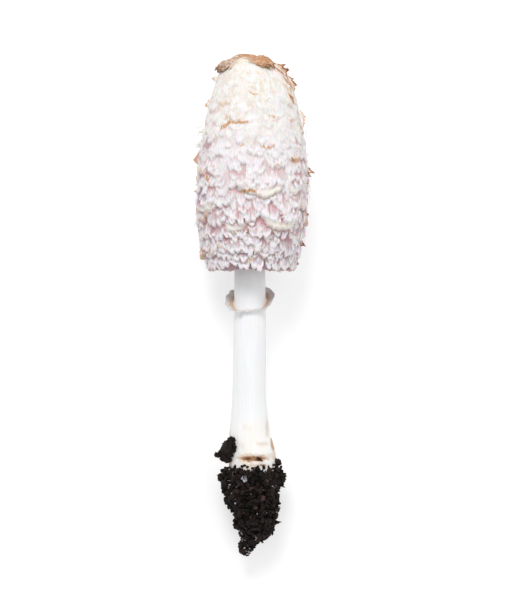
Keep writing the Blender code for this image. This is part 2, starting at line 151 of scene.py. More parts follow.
class Shape:
    # points in mm, faces, and what the materials read at each point
    def __init__(self, name):
        self.name = name
        self.points, self.faces, self.tints, self.strands = [], [], [], []

    def point(self, place, tint=(0, 0, 0, 0), strand=(0, 0, 0)):
        self.points.append(place)
        self.tints.append(tint)
        self.strands.append(strand)
        return len(self.points) - 1

    def skin(self, rows, closed=True):
        for before, after in zip(rows, rows[1:]):
            count = len(before)
            for side in range(count if closed else count - 1):
                beyond = (side + 1) % count
                self.faces.append((before[side], before[beyond], after[beyond], after[side]))

    def tube(self, rows):
        self.skin(rows)
        self.faces.append(tuple(rows[0]))
        self.faces.append(tuple(reversed(rows[-1])))

    def fan(self, middle, ring):
        for side, here in enumerate(ring):
            self.faces.append((middle, here, ring[(side + 1) % len(ring)]))


def pressed(height):
    # nothing goes below the resting surface: it is squeezed against it, without folding
    soft, far = laying["softness"], 20
    if height > far * soft:
        return height
    if height < -far * soft:
        return soft * math.exp(-far) * (1 + 1 / (1 - height))
    return soft * math.log1p(math.exp(height / soft))


def addObject(name, data):
    made = bpy.data.objects.new(name, data)
    bpy.context.scene.collection.objects.link(made)
    return made


def makePiece(shape, material, course, node, sharp=70):
    places = []
    for place in shape.points:
        laid = layDown @ Vector((place[0] + along(course, place[2]), place[1], place[2]))
        laid.z = pressed(laid.z)
        places.append(laid * mm)
    mesh = bpy.data.meshes.new(shape.name)
    mesh.from_pydata(places, [], shape.faces)
    for name, kind, field, values in (("tint", "FLOAT_COLOR", "color", shape.tints),
                                      ("strand", "FLOAT_VECTOR", "vector", shape.strands)):
        layer = mesh.attributes.new(name, kind, "POINT")
        layer.data.foreach_set(field, [value for one in values for value in one])
    work = bmesh.new()
    work.from_mesh(mesh)
    bmesh.ops.recalc_face_normals(work, faces=work.faces)
    work.to_mesh(mesh)
    work.free()
    mesh.shade_smooth()
    mesh.set_sharp_from_angle(angle=math.radians(sharp))
    mesh.materials.append(material)
    obj = addObject(shape.name, mesh)
    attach(obj, "root")
    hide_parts(node)
    triangles = sum(len(face.vertices) - 2 for face in mesh.polygons)
    print(f"{shape.name}: {len(places)} points, {triangles} triangles")
    return obj


class Look:
    # one procedural material, put together from nodes; colour holds what has been painted so far
    def __init__(self, name, settings):
        self.material = bpy.data.materials.new(name)
        self.material.use_nodes = True
        self.tree = self.material.node_tree
        self.shader = self.tree.nodes["Principled BSDF"]
        self.colour = None
        for socket, value in settings.items():
            self.shader.inputs[socket].default_value = value

    def feed(self, socket, value):
        if isinstance(value, bpy.types.NodeSocket):
            self.tree.links.new(value, socket)
        else:
            socket.default_value = value

    def node(self, kind, inputs=(), **settings):
        made = self.tree.nodes.new("ShaderNode" + kind)
        for name, value in settings.items():
            setattr(made, name, value)
        for name, value in dict(inputs).items():
            self.feed(made.inputs[name], value)
        return made

    def parts(self):
        # the four numbers kept at each point
        tint = self.node("Attribute", attribute_name="tint")
        split = self.node("SeparateColor", {"Color": tint.outputs["Color"]}).outputs
        return split["Red"], split["Green"], split["Blue"], tint.outputs["Alpha"]

    def axis(self, name):
        place = self.node("TexCoord").outputs["Object"]
        return self.node("SeparateXYZ", {"Vector": place}).outputs[name]

    def grain(self, source, scale, detail=3, roughness=0.55, distortion=0):
        # noise over the whole object, or along the strands kept at each point
        if source == "strand":
            place = self.node("Attribute", attribute_name=source).outputs["Vector"]
        else:
            place = self.node("TexCoord").outputs["Object"]
        place = self.node("Mapping", {"Vector": place, "Scale": scale}).outputs["Vector"]
        return self.node("TexNoise", {"Vector": place, "Scale": 1.0, "Detail": detail, "Roughness": roughness,
                                      "Distortion": distortion}).outputs["Fac"]

    def stretch(self, value, low, high, first=0, last=1):
        return self.node("MapRange", {"Value": value, "From Min": low, "From Max": high, "To Min": first,
                                      "To Max": last}).outputs["Result"]

    def sum(self, first, second, kind="ADD"):
        return self.node("Math", {0: first, 1: second}, operation=kind).outputs[0]

    def times(self, first, second):
        return self.sum(first, second, "MULTIPLY")

    def mix(self, share, first, second, kind="MIX"):
        mixer = self.node("Mix", data_type="RGBA", blend_type=kind)
        self.feed(mixer.inputs["Factor"], share)
        for socket, value in (("A", first), ("B", second)):
            target = next(s for s in mixer.inputs if s.name == socket and s.type == "RGBA")
            self.feed(target, value if isinstance(value, bpy.types.NodeSocket) else (*value, 1))
        return next(s for s in mixer.outputs if s.type == "RGBA")

    def paint(self, colour, share, *reach):
        # the next colour goes over the last, as far as its share says, which may be stretched first
        self.colour = self.mix(self.stretch(share, *reach) if reach else share, self.colour, colour)

    def bump(self, height, strength, distance, normal=None):
        made = self.node("Bump", {"Height": height, "Strength": strength, "Distance": distance})
        if normal:
            self.feed(made.inputs["Normal"], normal)
        return made.outputs["Normal"]

    def done(self, normal, roughness=None):
        self.feed(self.shader.inputs["Base Color"], self.colour)
        self.feed(self.shader.inputs["Normal"], normal)
        if roughness:
            self.feed(self.shader.inputs["Roughness"], roughness)
        return self.material


# The cap: a woolly coat of scales, the flesh under it and the gills. Sizes in mm, turns in degrees right of
# the front, colours linear
capChoices = {
    "seed": 21, "layoutSeed": 11,
    "sides": 288, "closeRows": 172, "start": 11.0,  # the coat's grid; its close rows start this far down
    "edge": 1.2, "drop": 2.8,  # how far past its edge a scale falls away, and how steeply
    "lobeWidth": (3.8, 3.3),  # of the fingers that each scale is split into, by the crown and by the margin
    "wool": (0.15, 0.18),  # depth of the fibres by the crown and further down
    "marginBelow": 2.4,  # the coat ends this far below the CAD model's margin
    "dryLip": 1.3, "creamLip": 2.9,  # how wide the lips of the broad scales are
    "inside": [(17.9, 126.5), (17.2, 126.3), (16.7, 127.4), (17.3, 131), (19.3, 143), (20.3, 164),
               (19.0, 183), (15.6, 199), (7.9, 207.5), (0, 207.6)],
    # the rows of scales, as in the CAD model
    "rows": {
        "count": 11, "first": 22.0, "last": 7.0, "spacing": (9.4, 7.5), "length": (12.4, 9.8),
        "overlap": (0.98, 1.3), "sink": 1.3, "yaw": 0.16,
        "lift": [(0, 0.2), (0.22, 0.35), (0.42, 0.9), (0.6, 1.6), (0.8, 1.8), (1, 1.6)],
        "shape": [(0.0, 0.34), (0.42, 0.52), (0.84, 0.5), (1.0, 0.47)],
        "lively": 0.09, "livelyCurl": (1.2, 2.4), "quietCurl": (-0.4, 0.7),
        "pressed": (18.0, 50.0), "pressedLift": 0.35,
    },
    # the broad scales with rolled lips: turn, height of the lip, degrees to each side, length and lift
    "broadScales": [(9, 158.0, 25, 12.5, 2.5), (33, 144.2, 23, 14.5, 3.2), (-61, 151.0, 19, 12.5, 2.2),
                    (-18, 143.4, 15, 11.5, 1.4), (-20, 188.5, 12, 10.5, 0.8), (52, 197.0, 11, 9.5, 0.9),
                    (49, 158.6, 11, 10.5, 1.4), (118, 160.0, 18, 12.0, 2.2), (-112, 172.0, 17, 12.0, 2.2)],
    "dryHeights": (188.5, 197.0),  # of the broad scales whose lips are thin, dry and tan
    # flushed places, and grey places that are partly bruises and partly painted shadow beneath scales: turn,
    # height, reach across and down, how pink and how grey
    "stains": [(-43, 142.3, 5.0, 4.6, 0.75, 0), (-60, 157.7, 4.4, 3.0, 0.3, 1.0),
               (24, 151.0, 4.6, 3.6, 0, 0.6), (-34, 146.0, 9.0, 3.0, 0.5, 0), (-5, 148.0, 6.0, 5.0, 0.3, 0),
               (62, 148.0, 8.0, 12.0, 0, 0.3), (-64, 178.0, 4.0, 6.0, 0, 0.35),
               (-10, 168.0, 8.0, 2.5, 0.25, 0), (130, 150.0, 8.0, 7.0, 0.5, 0),
               (-125, 150.0, 8.0, 7.0, 0.3, 0.3)],
    # scales that reach the margin itself: turn, how far down they start, width and lobes
    "marginScales": [(-44, 93.5, 6.6, 2), (-66, 94.0, 6.0, 2), (3, 93.0, 5.0, 1), (38, 93.5, 5.6, 2),
                     (62, 94.0, 5.4, 2), (112, 93.0, 6.0, 2), (-118, 93.5, 6.4, 2), (150, 94.0, 6.0, 2)],
    # dry brown crusts on the wool: turn, height, half width, half thickness, slope, bend and how brown
    "crusts": [(0, 201.8, 1.9, 0.42, -0.35, -0.5, 0.9), (19, 198.5, 0.9, 0.35, 0.5, 0, 0.8),
               (23, 191.7, 1.2, 0.35, -0.3, 0.6, 0.8), (27, 189.0, 1.4, 0.35, 0.2, -0.9, 0.7),
               (61, 199.2, 2.3, 1.3, -0.5, 0, 1.5), (53, 189.4, 1.5, 0.8, 0.7, 0, 0.7),
               (-34, 187.2, 2.4, 0.95, 0.7, 0.2, 1.15), (-16, 188.2, 4.0, 0.5, 0.0, -0.6, 1.0),
               (-12, 178.0, 0.8, 0.5, 0, 0, 0.9), (16, 177.1, 2.7, 0.5, 0.05, -1.0, 1.05),
               (53, 173.1, 3.0, 0.75, 0.1, -0.9, 1.1), (-57, 166.4, 1.9, 0.8, -0.9, 0, 1.1),
               (-5, 159.3, 3.3, 0.55, 0, 0.1, 1.3), (-26, 205.6, 1.0, 0.4, -0.6, 0, 0.5),
               (-47, 203.8, 1.0, 0.4, -0.6, 0, 0.45), (-14, 201.1, 0.8, 0.4, 0, 0, 0.4),
               (57, 204.8, 2.6, 1.4, -0.5, 0, 0.5), (66, 211.2, 2.8, 1.4, -0.9, 0, 1.4),
               (66, 206.4, 3.2, 1.7, -0.7, 0, 0.9), (-70, 171.0, 1.4, 0.9, -0.6, 0, 0.6),
               (70, 183.0, 1.6, 0.8, -0.5, 0, 0.6), (36, 182.6, 0.9, 0.45, 0.2, 0, 0.4),
               (-30, 177.3, 2.2, 0.5, -0.3, 0, 0.4), (100, 200.0, 2.4, 0.8, 0.3, -0.6, 1.1),
               (112, 184.0, 2.0, 0.7, -0.3, -0.6, 1.0), (128, 171.0, 2.6, 0.6, 0.2, -0.8, 0.9),
               (-100, 195.0, 2.2, 0.8, -0.3, -0.5, 1.1), (-116, 183.0, 2.6, 0.7, 0.3, -0.7, 1.0),
               (-135, 199.0, 2.0, 0.7, 0, -0.5, 0.9), (150, 190.0, 2.6, 0.6, 0, -0.7, 0.9),
               (-150, 172.0, 2.4, 0.6, 0.2, -0.7, 0.8), (-98, 163.0, 1.6, 0.6, 0.3, -0.4, 0.9),
               (-30, 190.6, 1.9, 1.0, 0.2, 0, 0.55)],
    # ragged frills that stand out at the sides: turn, height, length down, how tall and how brown
    "frills": [(72, 212.8, 6.0, 2.8, 1.3), (75, 206.8, 7.4, 2.2, 1.1), (84, 170.2, 4.4, 3.4, 1.1),
               (82, 192.4, 8.0, 1.5, 0.7), (-79, 213.4, 3.6, 2.0, 1.4), (-80, 209.8, 2.2, 1.5, 0.5),
               (-84, 198.2, 4.0, 1.5, 0.9), (-82, 174.0, 6.0, 1.9, 0.75), (-85, 186.4, 1.8, 1.8, 0.2),
               (-86, 181.6, 2.0, 2.0, 0.2), (-87, 167.5, 2.4, 1.2, 0.4), (85, 157.0, 3.0, 1.2, 0.6),
               (88, 146.0, 2.6, 1.0, 0.5), (-88, 150.0, 2.4, 1.0, 0.6), (-86, 160.0, 2.0, 1.2, 0.3),
               (108, 193.0, 5.0, 1.0, 0.9), (-112, 178.0, 4.4, 1.2, 0.8), (104, 165.0, 4.0, 1.2, 0.6),
               (-120, 204.0, 4.0, 1.0, 1.0), (-84, 143.5, 3.0, 1.5, 0.8), (-86, 135.0, 2.4, 1.3, 0.9),
               (-82, 128.5, 2.4, 1.0, 0.8), (84, 163.5, 2.6, 1.3, 0.7), (85, 151.5, 2.8, 1.6, 0.8),
               (84, 138.0, 3.0, 1.5, 0.9), (86, 130.5, 2.4, 1.3, 0.9)],
    # a frill's section: share of its height, with -1.2 mm for its root, and place across
    "frillSection": ((-1.2, -0.5), (0.3, -0.4), (0.6, -0.22), (0.85, -0.12), (1, 0), (0.85, 0.12),
                     (0.6, 0.22), (0.3, 0.4), (-1.2, 0.5)),
    # long loose fibres at the sides: turn, height, how far out and how far down
    "wisps": [(-84, 189.0, 3.4, 6.0), (-86, 184.0, 3.8, 6.5), (-80, 177.5, 2.2, 4.0), (-86, 160.5, 2.2, 2.0),
              (-88, 152.5, 2.4, 2.0), (85, 176.0, 1.8, 3.0), (84, 148.0, 1.8, 3.0), (150, 170.0, 1.2, 4.0)],
    "tufts": 1050, "tuftLengths": (4.5, 8.5), "tuftWidths": (2.0, 5.0), "livelyTufts": 0.05,
    "hairs": 160, "hairLengths": (1.5, 4.0), "hairLifts": (1.2, 2.6), "tanHairs": 0.4,
    # the gills: how many long ones, height and radius of the free edge of a long and of a short one, with its
    # thickness, and height and radius where they are rooted
    "longGills": 80,
    "gillEdges": (([(129.9, 10.5), (131.5, 8.9), (150, 8.2), (206, 8.1)], 0.42),
                  ([(128.8, 13.4), (132, 13.0), (150, 15.6), (165, 20.0)], 0.38)),
    "gillRoots": [(127.9, 17.1), (131, 18.2), (143, 19.8), (164, 20.8), (183, 19.6), (199, 16.0), (207, 9.0)],
    "white": (0.80, 0.805, 0.82), "lowWhite": (0.66, 0.655, 0.69), "cream": (0.88, 0.86, 0.76),
    "tipHighlight": (0.94, 0.94, 0.97), "upper": (0.78, 0.765, 0.73), "streaks": (0.68, 0.57, 0.43),
    # shadowTone, pink and mauve are painted shade colours; pink is partly also the cap's own flush
    "shadowTone": (0.79, 0.775, 0.755), "pink": (0.62, 0.38, 0.40), "mauve": (0.37, 0.28, 0.30),
    "bruiseAndShadow": (0.34, 0.30, 0.35), "tan": (0.62, 0.39, 0.21), "brown": (0.34, 0.15, 0.07),
    # grains: what they follow, their closeness along three axes, detail, roughness and distortion
    "fibre": ("strand", (1.5, 0.13, 1), 4, 0.6), "fine": ("strand", (3.4, 0.3, 3.0), 3, 0.6),
    "streak": ("strand", (0.55, 0.055, 0.5), 4, 0.65, 0.3), "patch": ("object", (110, 110, 110), 3),
    "surface": {"Roughness": 0.72, "Subsurface Weight": 0.3, "Subsurface Scale": 0.0016,
                "Specular IOR Level": 0.3},
}


def pressedShare(angle):
    # 0 on the flank that the cap rests on, 1 where its scales stand free
    first, last = capChoices["rows"]["pressed"]
    fromDown = abs(math.degrees(math.remainder(angle - math.pi / 2, math.tau)))
    return eased((fromDown - first) / (last - first))


def scaleLayout():
    rows = capChoices["rows"]
    draw = random.Random(capChoices["layoutSeed"])
    layout = []
    for row in range(rows["count"]):
        share = row / (rows["count"] - 1)
        down = blend((rows["first"], bellLengths[-1] - rows["last"]), share)
        radius = plainRadius(down)
        count = round(math.tau * radius / blend(rows["spacing"], share))
        uneven = 1 - 0.7 * share ** 5
        for number in range(count):
            lively = draw.random() < rows["lively"]
            layout.append({
                "down": down + draw.uniform(-1.6, 1.2) * uneven,
                "angle": (number + 0.5 * (row % 2) + draw.uniform(-0.24, 0.24)) * math.tau / count,
                "length": blend(rows["length"], share) * (1 + draw.uniform(-0.18, 0.2) * uneven),
                "width": math.tau * radius / count * draw.uniform(*rows["overlap"]),
                "lift": along(rows["lift"], share) * draw.uniform(0.7, 1.3),
                "curl": draw.uniform(*(rows["livelyCurl"] if lively else rows["quietCurl"])),
                "yaw": draw.uniform(-rows["yaw"], rows["yaw"]),
                "lively": lively,
                "share": share,
            })
    return layout


def addFrill(shape, draw, frill):
    # a thin, ragged fin of dried scale, rooted in the wool
    turn, height, length, tall, tan = frill
    angle = facing(turn)
    middle, number = downAt(height), draw.uniform(0, 90)
    count = max(7, round(length * 3))
    loops = []
    for step in range(count + 1):
        v = step / count
        ragged = 1 + 1.1 * rough(v * length * 0.9, number, 0)
        ragged += 0.7 * rough(v * length * 2.3, number, 5)
        rise = max(0.1, tall * ragged * math.sin(math.pi * v) ** 0.6)
        loop = []
        for level, side in capChoices["frillSection"]:
            above = 0.7 + rise * level if level > 0 else level
            row = bellRow(middle + (v - 0.5) * length + 0.35 * max(0, level) * rise)
            lean = 0.5 * rough(v * 3, level, number) * max(0, level) * rise
            lean -= math.copysign(0.6, turn) * max(0, level) ** 2 * rise
            loop.append(shape.point(onBell(row, angle + (side + lean) / row[0], above),
                                    (0.75 + 0.2 * side, tan * 1.5 * eased((level - 0.1) / 0.6), 0, 0.4),
                                    (side, v * length, number)))
        loops.append(loop)
    shape.tube(loops)


class Coat:
    # the cap's woolly surface: a height and colours at each place of a grid of turns and rows over the bell
    def __init__(self):
        c = capChoices
        self.sides, self.end = c["sides"], bellLengths[-1] + c["marginBelow"]
        self.downs = [c["start"] * (number + 1) / 6 for number in range(5)]
        close = c["closeRows"]
        self.downs += [blend((c["start"], self.end), number / close) for number in range(close + 1)]
        self.bells = [bellRow(down) for down in self.downs]
        count = self.sides * len(self.downs)
        self.above, self.swell, self.lip = [0.0] * count, [0.0] * count, [0.0] * count
        self.tints = [(0.3, 0, 0, 0)] * count

    def places(self, down, length, angle, reach, radius):
        # every place of the grid that a scale may cover: its number, how far down it is and how far across
        for row, here in enumerate(self.downs):
            if down < here < down + length:
                first = math.ceil((angle - reach / radius) / math.tau * self.sides)
                last = math.floor((angle + reach / radius) / math.tau * self.sides)
                for side in range(first, last + 1):
                    yield (row * self.sides + side % self.sides, here - down,
                           (side * math.tau / self.sides - angle) * radius)

    def lay(self, draw, scale):
        # one shaggy scale: combed wool whose lower edge is split into blunt fingers
        c, rows = capChoices, capChoices["rows"]
        free = pressedShare(scale["angle"])
        loose = eased((scale["share"] - 0.15) / 0.6)  # near the crown the scales lie close and hardly split
        lift = scale["lift"] * blend((rows["pressedLift"], 1), free)
        radius = plainRadius(scale["down"])
        lobes = scale.get("lobes") or max(2, round(scale["width"] / blend(c["lobeWidth"], loose)))
        short = 0.14 * loose
        lengths = [1 + draw.uniform(-0.17, 0.1) - 0.2 * (draw.random() < short) for _ in range(lobes)]
        rises = [draw.uniform(-0.25, 0.35) * loose * free for _ in range(lobes)]
        bends = [draw.uniform(-0.12, 0.12) for _ in range(lobes)]
        light = draw.uniform(-0.1, 0.12) + 0.25 * (1 - loose)
        pink = draw.uniform(-0.2, 0.2)
        number = draw.uniform(0, 90)
        tan = draw.uniform(0.6, 1.1) if scale["lively"] else draw.uniform(-0.3, 0.25)
        if math.sin(scale["angle"]) ** 2 < 0.15:
            tan += 0.26 * loose  # drier at the sides
        width, length = scale["width"], scale["length"]
        gap = blend((0.05, 0.25), loose)
        firm = blend((0.3, 1), eased((scale["down"] - 18) / 30))
        for place, deep, across in self.places(scale["down"], 1.15 * length + 0.9, scale["angle"],
                                               0.55 * width + 1.6, radius):
            v = deep / length
            half = along(rows["shape"], min(v, 1)) * width
            u = (across - scale["yaw"] * deep) / half
            lobe = min(max(int((u + 1) / 2 * lobes), 0), lobes - 1)
            spot = (u + 1 + bends[lobe] * v) / 2 * lobes - lobe
            bulge = math.sin(math.pi * min(max(spot, 0), 1))
            arch = 1 - min(u * u, 1)
            end = (0.82 + 0.24 * arch) * lengths[lobe] - gap * (1 - bulge ** 0.4)
            v /= end
            over = max((v - 1) * length * end, (abs(u) - 1) * half)
            if over > c["edge"]:
                continue
            v = min(v, 1)
            above = blend((-rows["sink"], lift), v ** 0.85) + scale["curl"] * 0.5 * free * firm * v ** 3
            above += blend((0.15, 0.45), loose) * arch * (0.4 + 0.6 * math.sin(math.pi * min(v + 0.1, 1)))
            above += (0.6 * bulge ** 0.45 - 0.4) * loose * v + rises[lobe] * v * v
            groove = rough(across * 1.5, deep * 0.1, number) + 0.8 * rough(across * 3.4, deep * 0.14, number)
            above += 0.15 * groove * loose * (1.2 - v)
            above -= 0.2 * eased((v - 0.9) / 0.1) + c["drop"] * max(0, over)
            if above > self.above[place]:
                self.above[place] = above
                shade = 1 - (1 - v) ** 1.6 + light - 0.45 * loose * (1 - bulge ** 0.5) * v
                shade -= 0.8 * firm * max(0, over)
                shade += 0.85 * groove * loose * (1.1 - v) - 0.14 + 0.4 * eased((v - 0.6) / 0.3)
                dry = max(0, tan) * eased((v - 0.66) / 0.34)
                self.tints[place] = (shade, dry, pink, 0.2 * eased((v - 0.8) / 0.2))

    def layBroad(self, draw, scale):
        # a broad swelling that carries smaller scales and ends at a thick, smooth lip
        c = capChoices
        turn, height, spread, long, lift = scale
        angle, down = facing(turn), downAt(height) - long
        radius = plainRadius(down)
        wide = math.radians(spread) * radius
        lift *= blend((c["rows"]["pressedLift"], 1), pressedShare(angle))
        dry = height in c["dryHeights"]
        number = draw.uniform(0, 50)
        for place, deep, across in self.places(down, long + 2, angle, 1.1 * wide + 1.5, radius):
            s = across / wide
            arch = min(s * s, 1)
            wobble = rough(s * 2.4, number, 0) + 0.6 * rough(s * 8, number, 0)
            length = long * (1 - 0.34 * min(s * s, 1.2) + 0.1 * wobble)
            half = along([(0, 0.5), (0.5, 0.85), (0.86, 1), (1, 0.97)], min(deep / length, 1))
            over = max(deep - length, (abs(s) - half) * wide)
            if over > c["edge"]:
                continue
            v = min(deep / length, 1)
            band = (c["dryLip"] if dry else c["creamLip"]) * (1 + 0.6 * wobble) * (1 - 0.5 * arch)
            lip = eased((deep - length + band) / 1.1) * eased((1.04 - abs(s)) / 0.3)
            swell = (0.35 + lift) * v ** 1.3 * (1 - 0.45 * arch) + lip * (0.05 if dry else 0.2)
            swell -= 0.5 * eased((deep - length + 0.7) / 0.7) + c["drop"] * max(0, over)
            if swell > self.swell[place]:
                self.swell[place], self.lip[place] = swell, lip
                tan = max(0, 0.5 + 1.2 * rough(s * 5, number, 4)) if dry else 0
                shade, _, pink, cream = self.tints[place]
                self.tints[place] = (blend((shade, 0.85), lip * 0.8) - 0.6 * max(0, over), tan * lip,
                                     pink * (1 - lip), max(cream, (0.75 + 0.3 * wobble) * lip))

    def layCrust(self, crust):
        # a dried, brown edge: a small ridge of the wool itself
        turn, height, half, thick, slope, bend, brown = crust
        down = downAt(height) - half - 2
        radius = plainRadius(downAt(height))
        for place, deep, across in self.places(down, 2 * half + 4, facing(turn), 1.3 * half + 0.5, radius):
            s = across / half
            wobble = rough(across * 0.9, turn, height)
            off = deep - half - 2 + slope * across - bend * (s * s - 0.4) + 0.9 * wobble
            share = eased(1.7 - abs(off) / thick) * eased((1.25 - abs(s) + 0.4 * wobble) / 0.4)
            if share:
                self.above[place] += 0.3 * share * thick
                shade, tan, pink, cream = self.tints[place]
                tan = max(tan, share * brown * (1.1 + 0.8 * wobble))
                self.tints[place] = (shade, tan, pink * (1 - share), cream)

    def evened(self, values, reach):
        # the same values, evened out over their neighbours
        sides, count = self.sides, len(self.downs)
        across = []
        for row in range(count):
            line = values[row * sides:(row + 1) * sides]
            total = sum(line[side % sides] for side in range(-reach, reach + 1))
            for side in range(sides):
                across.append(total / (2 * reach + 1))
                total += line[(side + reach + 1) % sides] - line[(side - reach) % sides]
        result = []
        for row in range(count):
            near = [max(0, min(count - 1, row + step)) * sides for step in range(-reach, reach + 1)]
            result.extend(sum(across[start + side] for start in near) / len(near) for side in range(sides))
        return result

    def stain(self, row, angle, wool):
        # how much pinker and how much darker the stains make a place; the grey ones are partly painted shadow
        radius, height = self.bells[row][:2]
        pink = dark = 0
        for turn, level, across, deep, flush, bruiseAndShadow in capChoices["stains"]:
            if abs(height - level) < 1.6 * deep:
                apart = math.remainder(angle - facing(turn), math.tau) * radius
                if abs(apart) < 1.6 * across:
                    spread = math.hypot(apart / across, (height - level) / deep) + 0.5 * wool
                    share = eased((1.5 - spread) / 1.2)
                    pink += share * (0.7 * flush + 1.3 * bruiseAndShadow)
                    dark += share * (0.4 * flush + 0.35 * bruiseAndShadow)
        return pink, dark

    def cover(self, shape):
        # the finished surface, down to its ragged rim
        heights = [above * (1 - 0.75 * lip) + swell
                   for above, lip, swell in zip(self.above, self.lip, self.swell)]
        crownReach = crownChoices["layers"][0]["reach"]
        covers = [along(crownReach, fromFront(angle)) for _, angle, _, _ in turns(self.sides)]
        for row, down in enumerate(self.downs):
            if down < 20:
                for side in range(self.sides):
                    place = row * self.sides + side
                    free = eased((down - covers[side] + 2.6) / 2.2)
                    heights[place] = blend((min(heights[place], -0.15), heights[place]), free)
        near, wide = self.evened(heights, 2), self.evened(heights, 6)
        loops = []
        for row, down in enumerate(self.downs):
            low = eased((down - 15) / 25)
            rim = eased((down - self.end + 3.5) / 3.5)
            radius = self.bells[row][0]
            loop = []
            for side, angle, x, y in turns(self.sides):
                place = row * self.sides + side
                rest = 1 - self.lip[place]
                wool = rough(x * radius * 1.1, down * 0.17, y * radius * 1.1)
                wool += 0.7 * rough(x * radius * 0.4, down * 0.12, y * radius * 0.4 + 9)
                comb = rough(x * 15, y * 15, 3) + 0.6 * rough(x * 32, y * 32, 3)
                bare = 1 - eased((covers[side] - 1.5 - down) / 1.5)
                height = heights[place] + 0.3 * comb * rim
                height += wool * blend(capChoices["wool"], low) * (0.6 + 0.4 * rest) * bare
                # painted shade: a place lower than its neighbours is darker and a higher one lighter, as is
                # the raised wool, less so on the lips
                cavityShade = 0.55 * (heights[place] - near[place]) + 0.16 * (heights[place] - wide[place])
                cavityShade *= 0.3 + 0.7 * rest
                shade, tan, pink, cream = self.tints[place]
                flush, dark = self.stain(row, angle, wool)
                dull = eased((abs(x) - 0.62) / 0.3) * eased((0.3 - y) / 0.3) * low
                pink += flush + dull * (0.85 + 0.9 * wool) + 0.15 * rim
                shade += cavityShade * blend((0.6, 1.3), low) + 0.25 * wool * rest - 0.1 * dull - dark
                shade -= 0.5 * eased((down - self.end + 1.6) / 1.6) * (0.8 - 1.7 * comb)
                base = bellRow(down + 0.8 * comb * rim) if rim else self.bells[row]
                loop.append(shape.point(onBell(base, angle, height), (shade, tan, pink, cream),
                                        (radius * x, down, radius * y * 1.4)))
            loops.append(loop)
        return loops


def addHair(shape, draw, down, angle, length, lift, tan):
    # one slender fibre that has come loose at a tip
    loops = []
    swing = draw.uniform(-0.9, 0.9)
    rise = draw.uniform(0.5, 1.8)
    for step in range(6):
        v = step / 5
        row = bellRow(down + v * length)
        thin = 0.16 * (1 - v) + 0.03
        turn = angle + swing * v * v / max(row[0], 4)
        middle = onBell(row, turn, lift + rise * v ** 2.2)
        side = Vector((-math.sin(turn), math.cos(turn), 0))
        out = Vector((math.cos(turn), math.sin(turn), 0))
        loops.append([shape.point(middle + (side * math.cos(way) + out * math.sin(way)) * thin,
                                  (0.9, tan * v, 0, 0.3), (0, v, 0))
                      for way in (0.3, 1.87, 3.44, 5.01)])
    shape.tube(loops)


def addWisp(shape, wisp):
    # a long, thin fibre that bends away from the side
    turn, height, out, drop = wisp
    down = downAt(height)
    loops = []
    for step in range(10):
        v = step / 9
        thin = 0.3 * (1 - v) ** 0.7 + 0.04
        middle = onBell(bellRow(down + drop * (v - 0.6 * v * v)), facing(turn), 0.6 + out * v ** 1.3)
        loops.append([shape.point(middle + Vector((0, math.cos(way), math.sin(way))) * thin,
                                  (0.8, 0.5 * v, 0, 0.5), (0, v * 4, 0))
                      for way in (0.3, 1.35, 2.4, 3.44, 4.5, 5.5)])
    shape.tube(loops)


def addFlesh(shape, loops):
    # the coat's apex, and the hollow inside it
    inside = capChoices["inside"]
    apex = shape.point(Vector((0, 0, bell[0][1])), (0.5, 0, 0, 0.4))
    shape.fan(apex, loops[0])
    shape.skin(loops)
    previous = loops[-1]
    rim = 2  # the outline's first spans are the rim, which has sharp edges
    for span in range(len(inside) - 1):
        parts = 3 if span > rim else 1
        for part in range(1, parts + 1):
            if span > rim:
                radius, height = curveThrough(inside, span, part / parts)[0]
            else:
                radius, height = inside[span + 1]
            if radius < 0.5:
                continue
            loop = [shape.point(Vector((radius * x, radius * y, height)), (0.25, 0, 0.6, 0),
                                (radius * x, height, radius * y)) for _, _, x, y in turns(len(previous))]
            shape.skin([previous, loop])
            previous = loop
    end = shape.point(Vector((0, 0, inside[-1][1])), (0.3, 0, 0.6, 0))
    shape.fan(end, previous[::-1])


def addGill(shape, draw, angle, inner, thick):
    # one thin blade that hangs from the flesh towards the stem
    number = draw.uniform(0, 50)
    loops = []
    lean = draw.uniform(-0.02, 0.02)
    for step in range(10):
        v = step / 9
        height = blend((inner[0][0], inner[-1][0]), v)
        start, end = along(inner, height), along(capChoices["gillRoots"], height)
        middle = blend((start, end), 0.5)
        loop = []
        for radius, side in ((start, -0.3), (middle, -1), (end, -1), (end, 1), (middle, 1), (start, 0.3)):
            sway = 0.25 * rough(radius * 0.4, height * 0.12, number)
            turn = angle + lean * (end - radius) / 8 + (side * thick / 2 + sway) / max(radius, 5)
            loop.append(shape.point(Vector((radius * math.cos(turn), radius * math.sin(turn), height)),
                                    (0.2, 0, 0.75 - 0.3 * v, 0), (turn * radius, height, number)))
        loops.append(loop)
    shape.tube(loops)


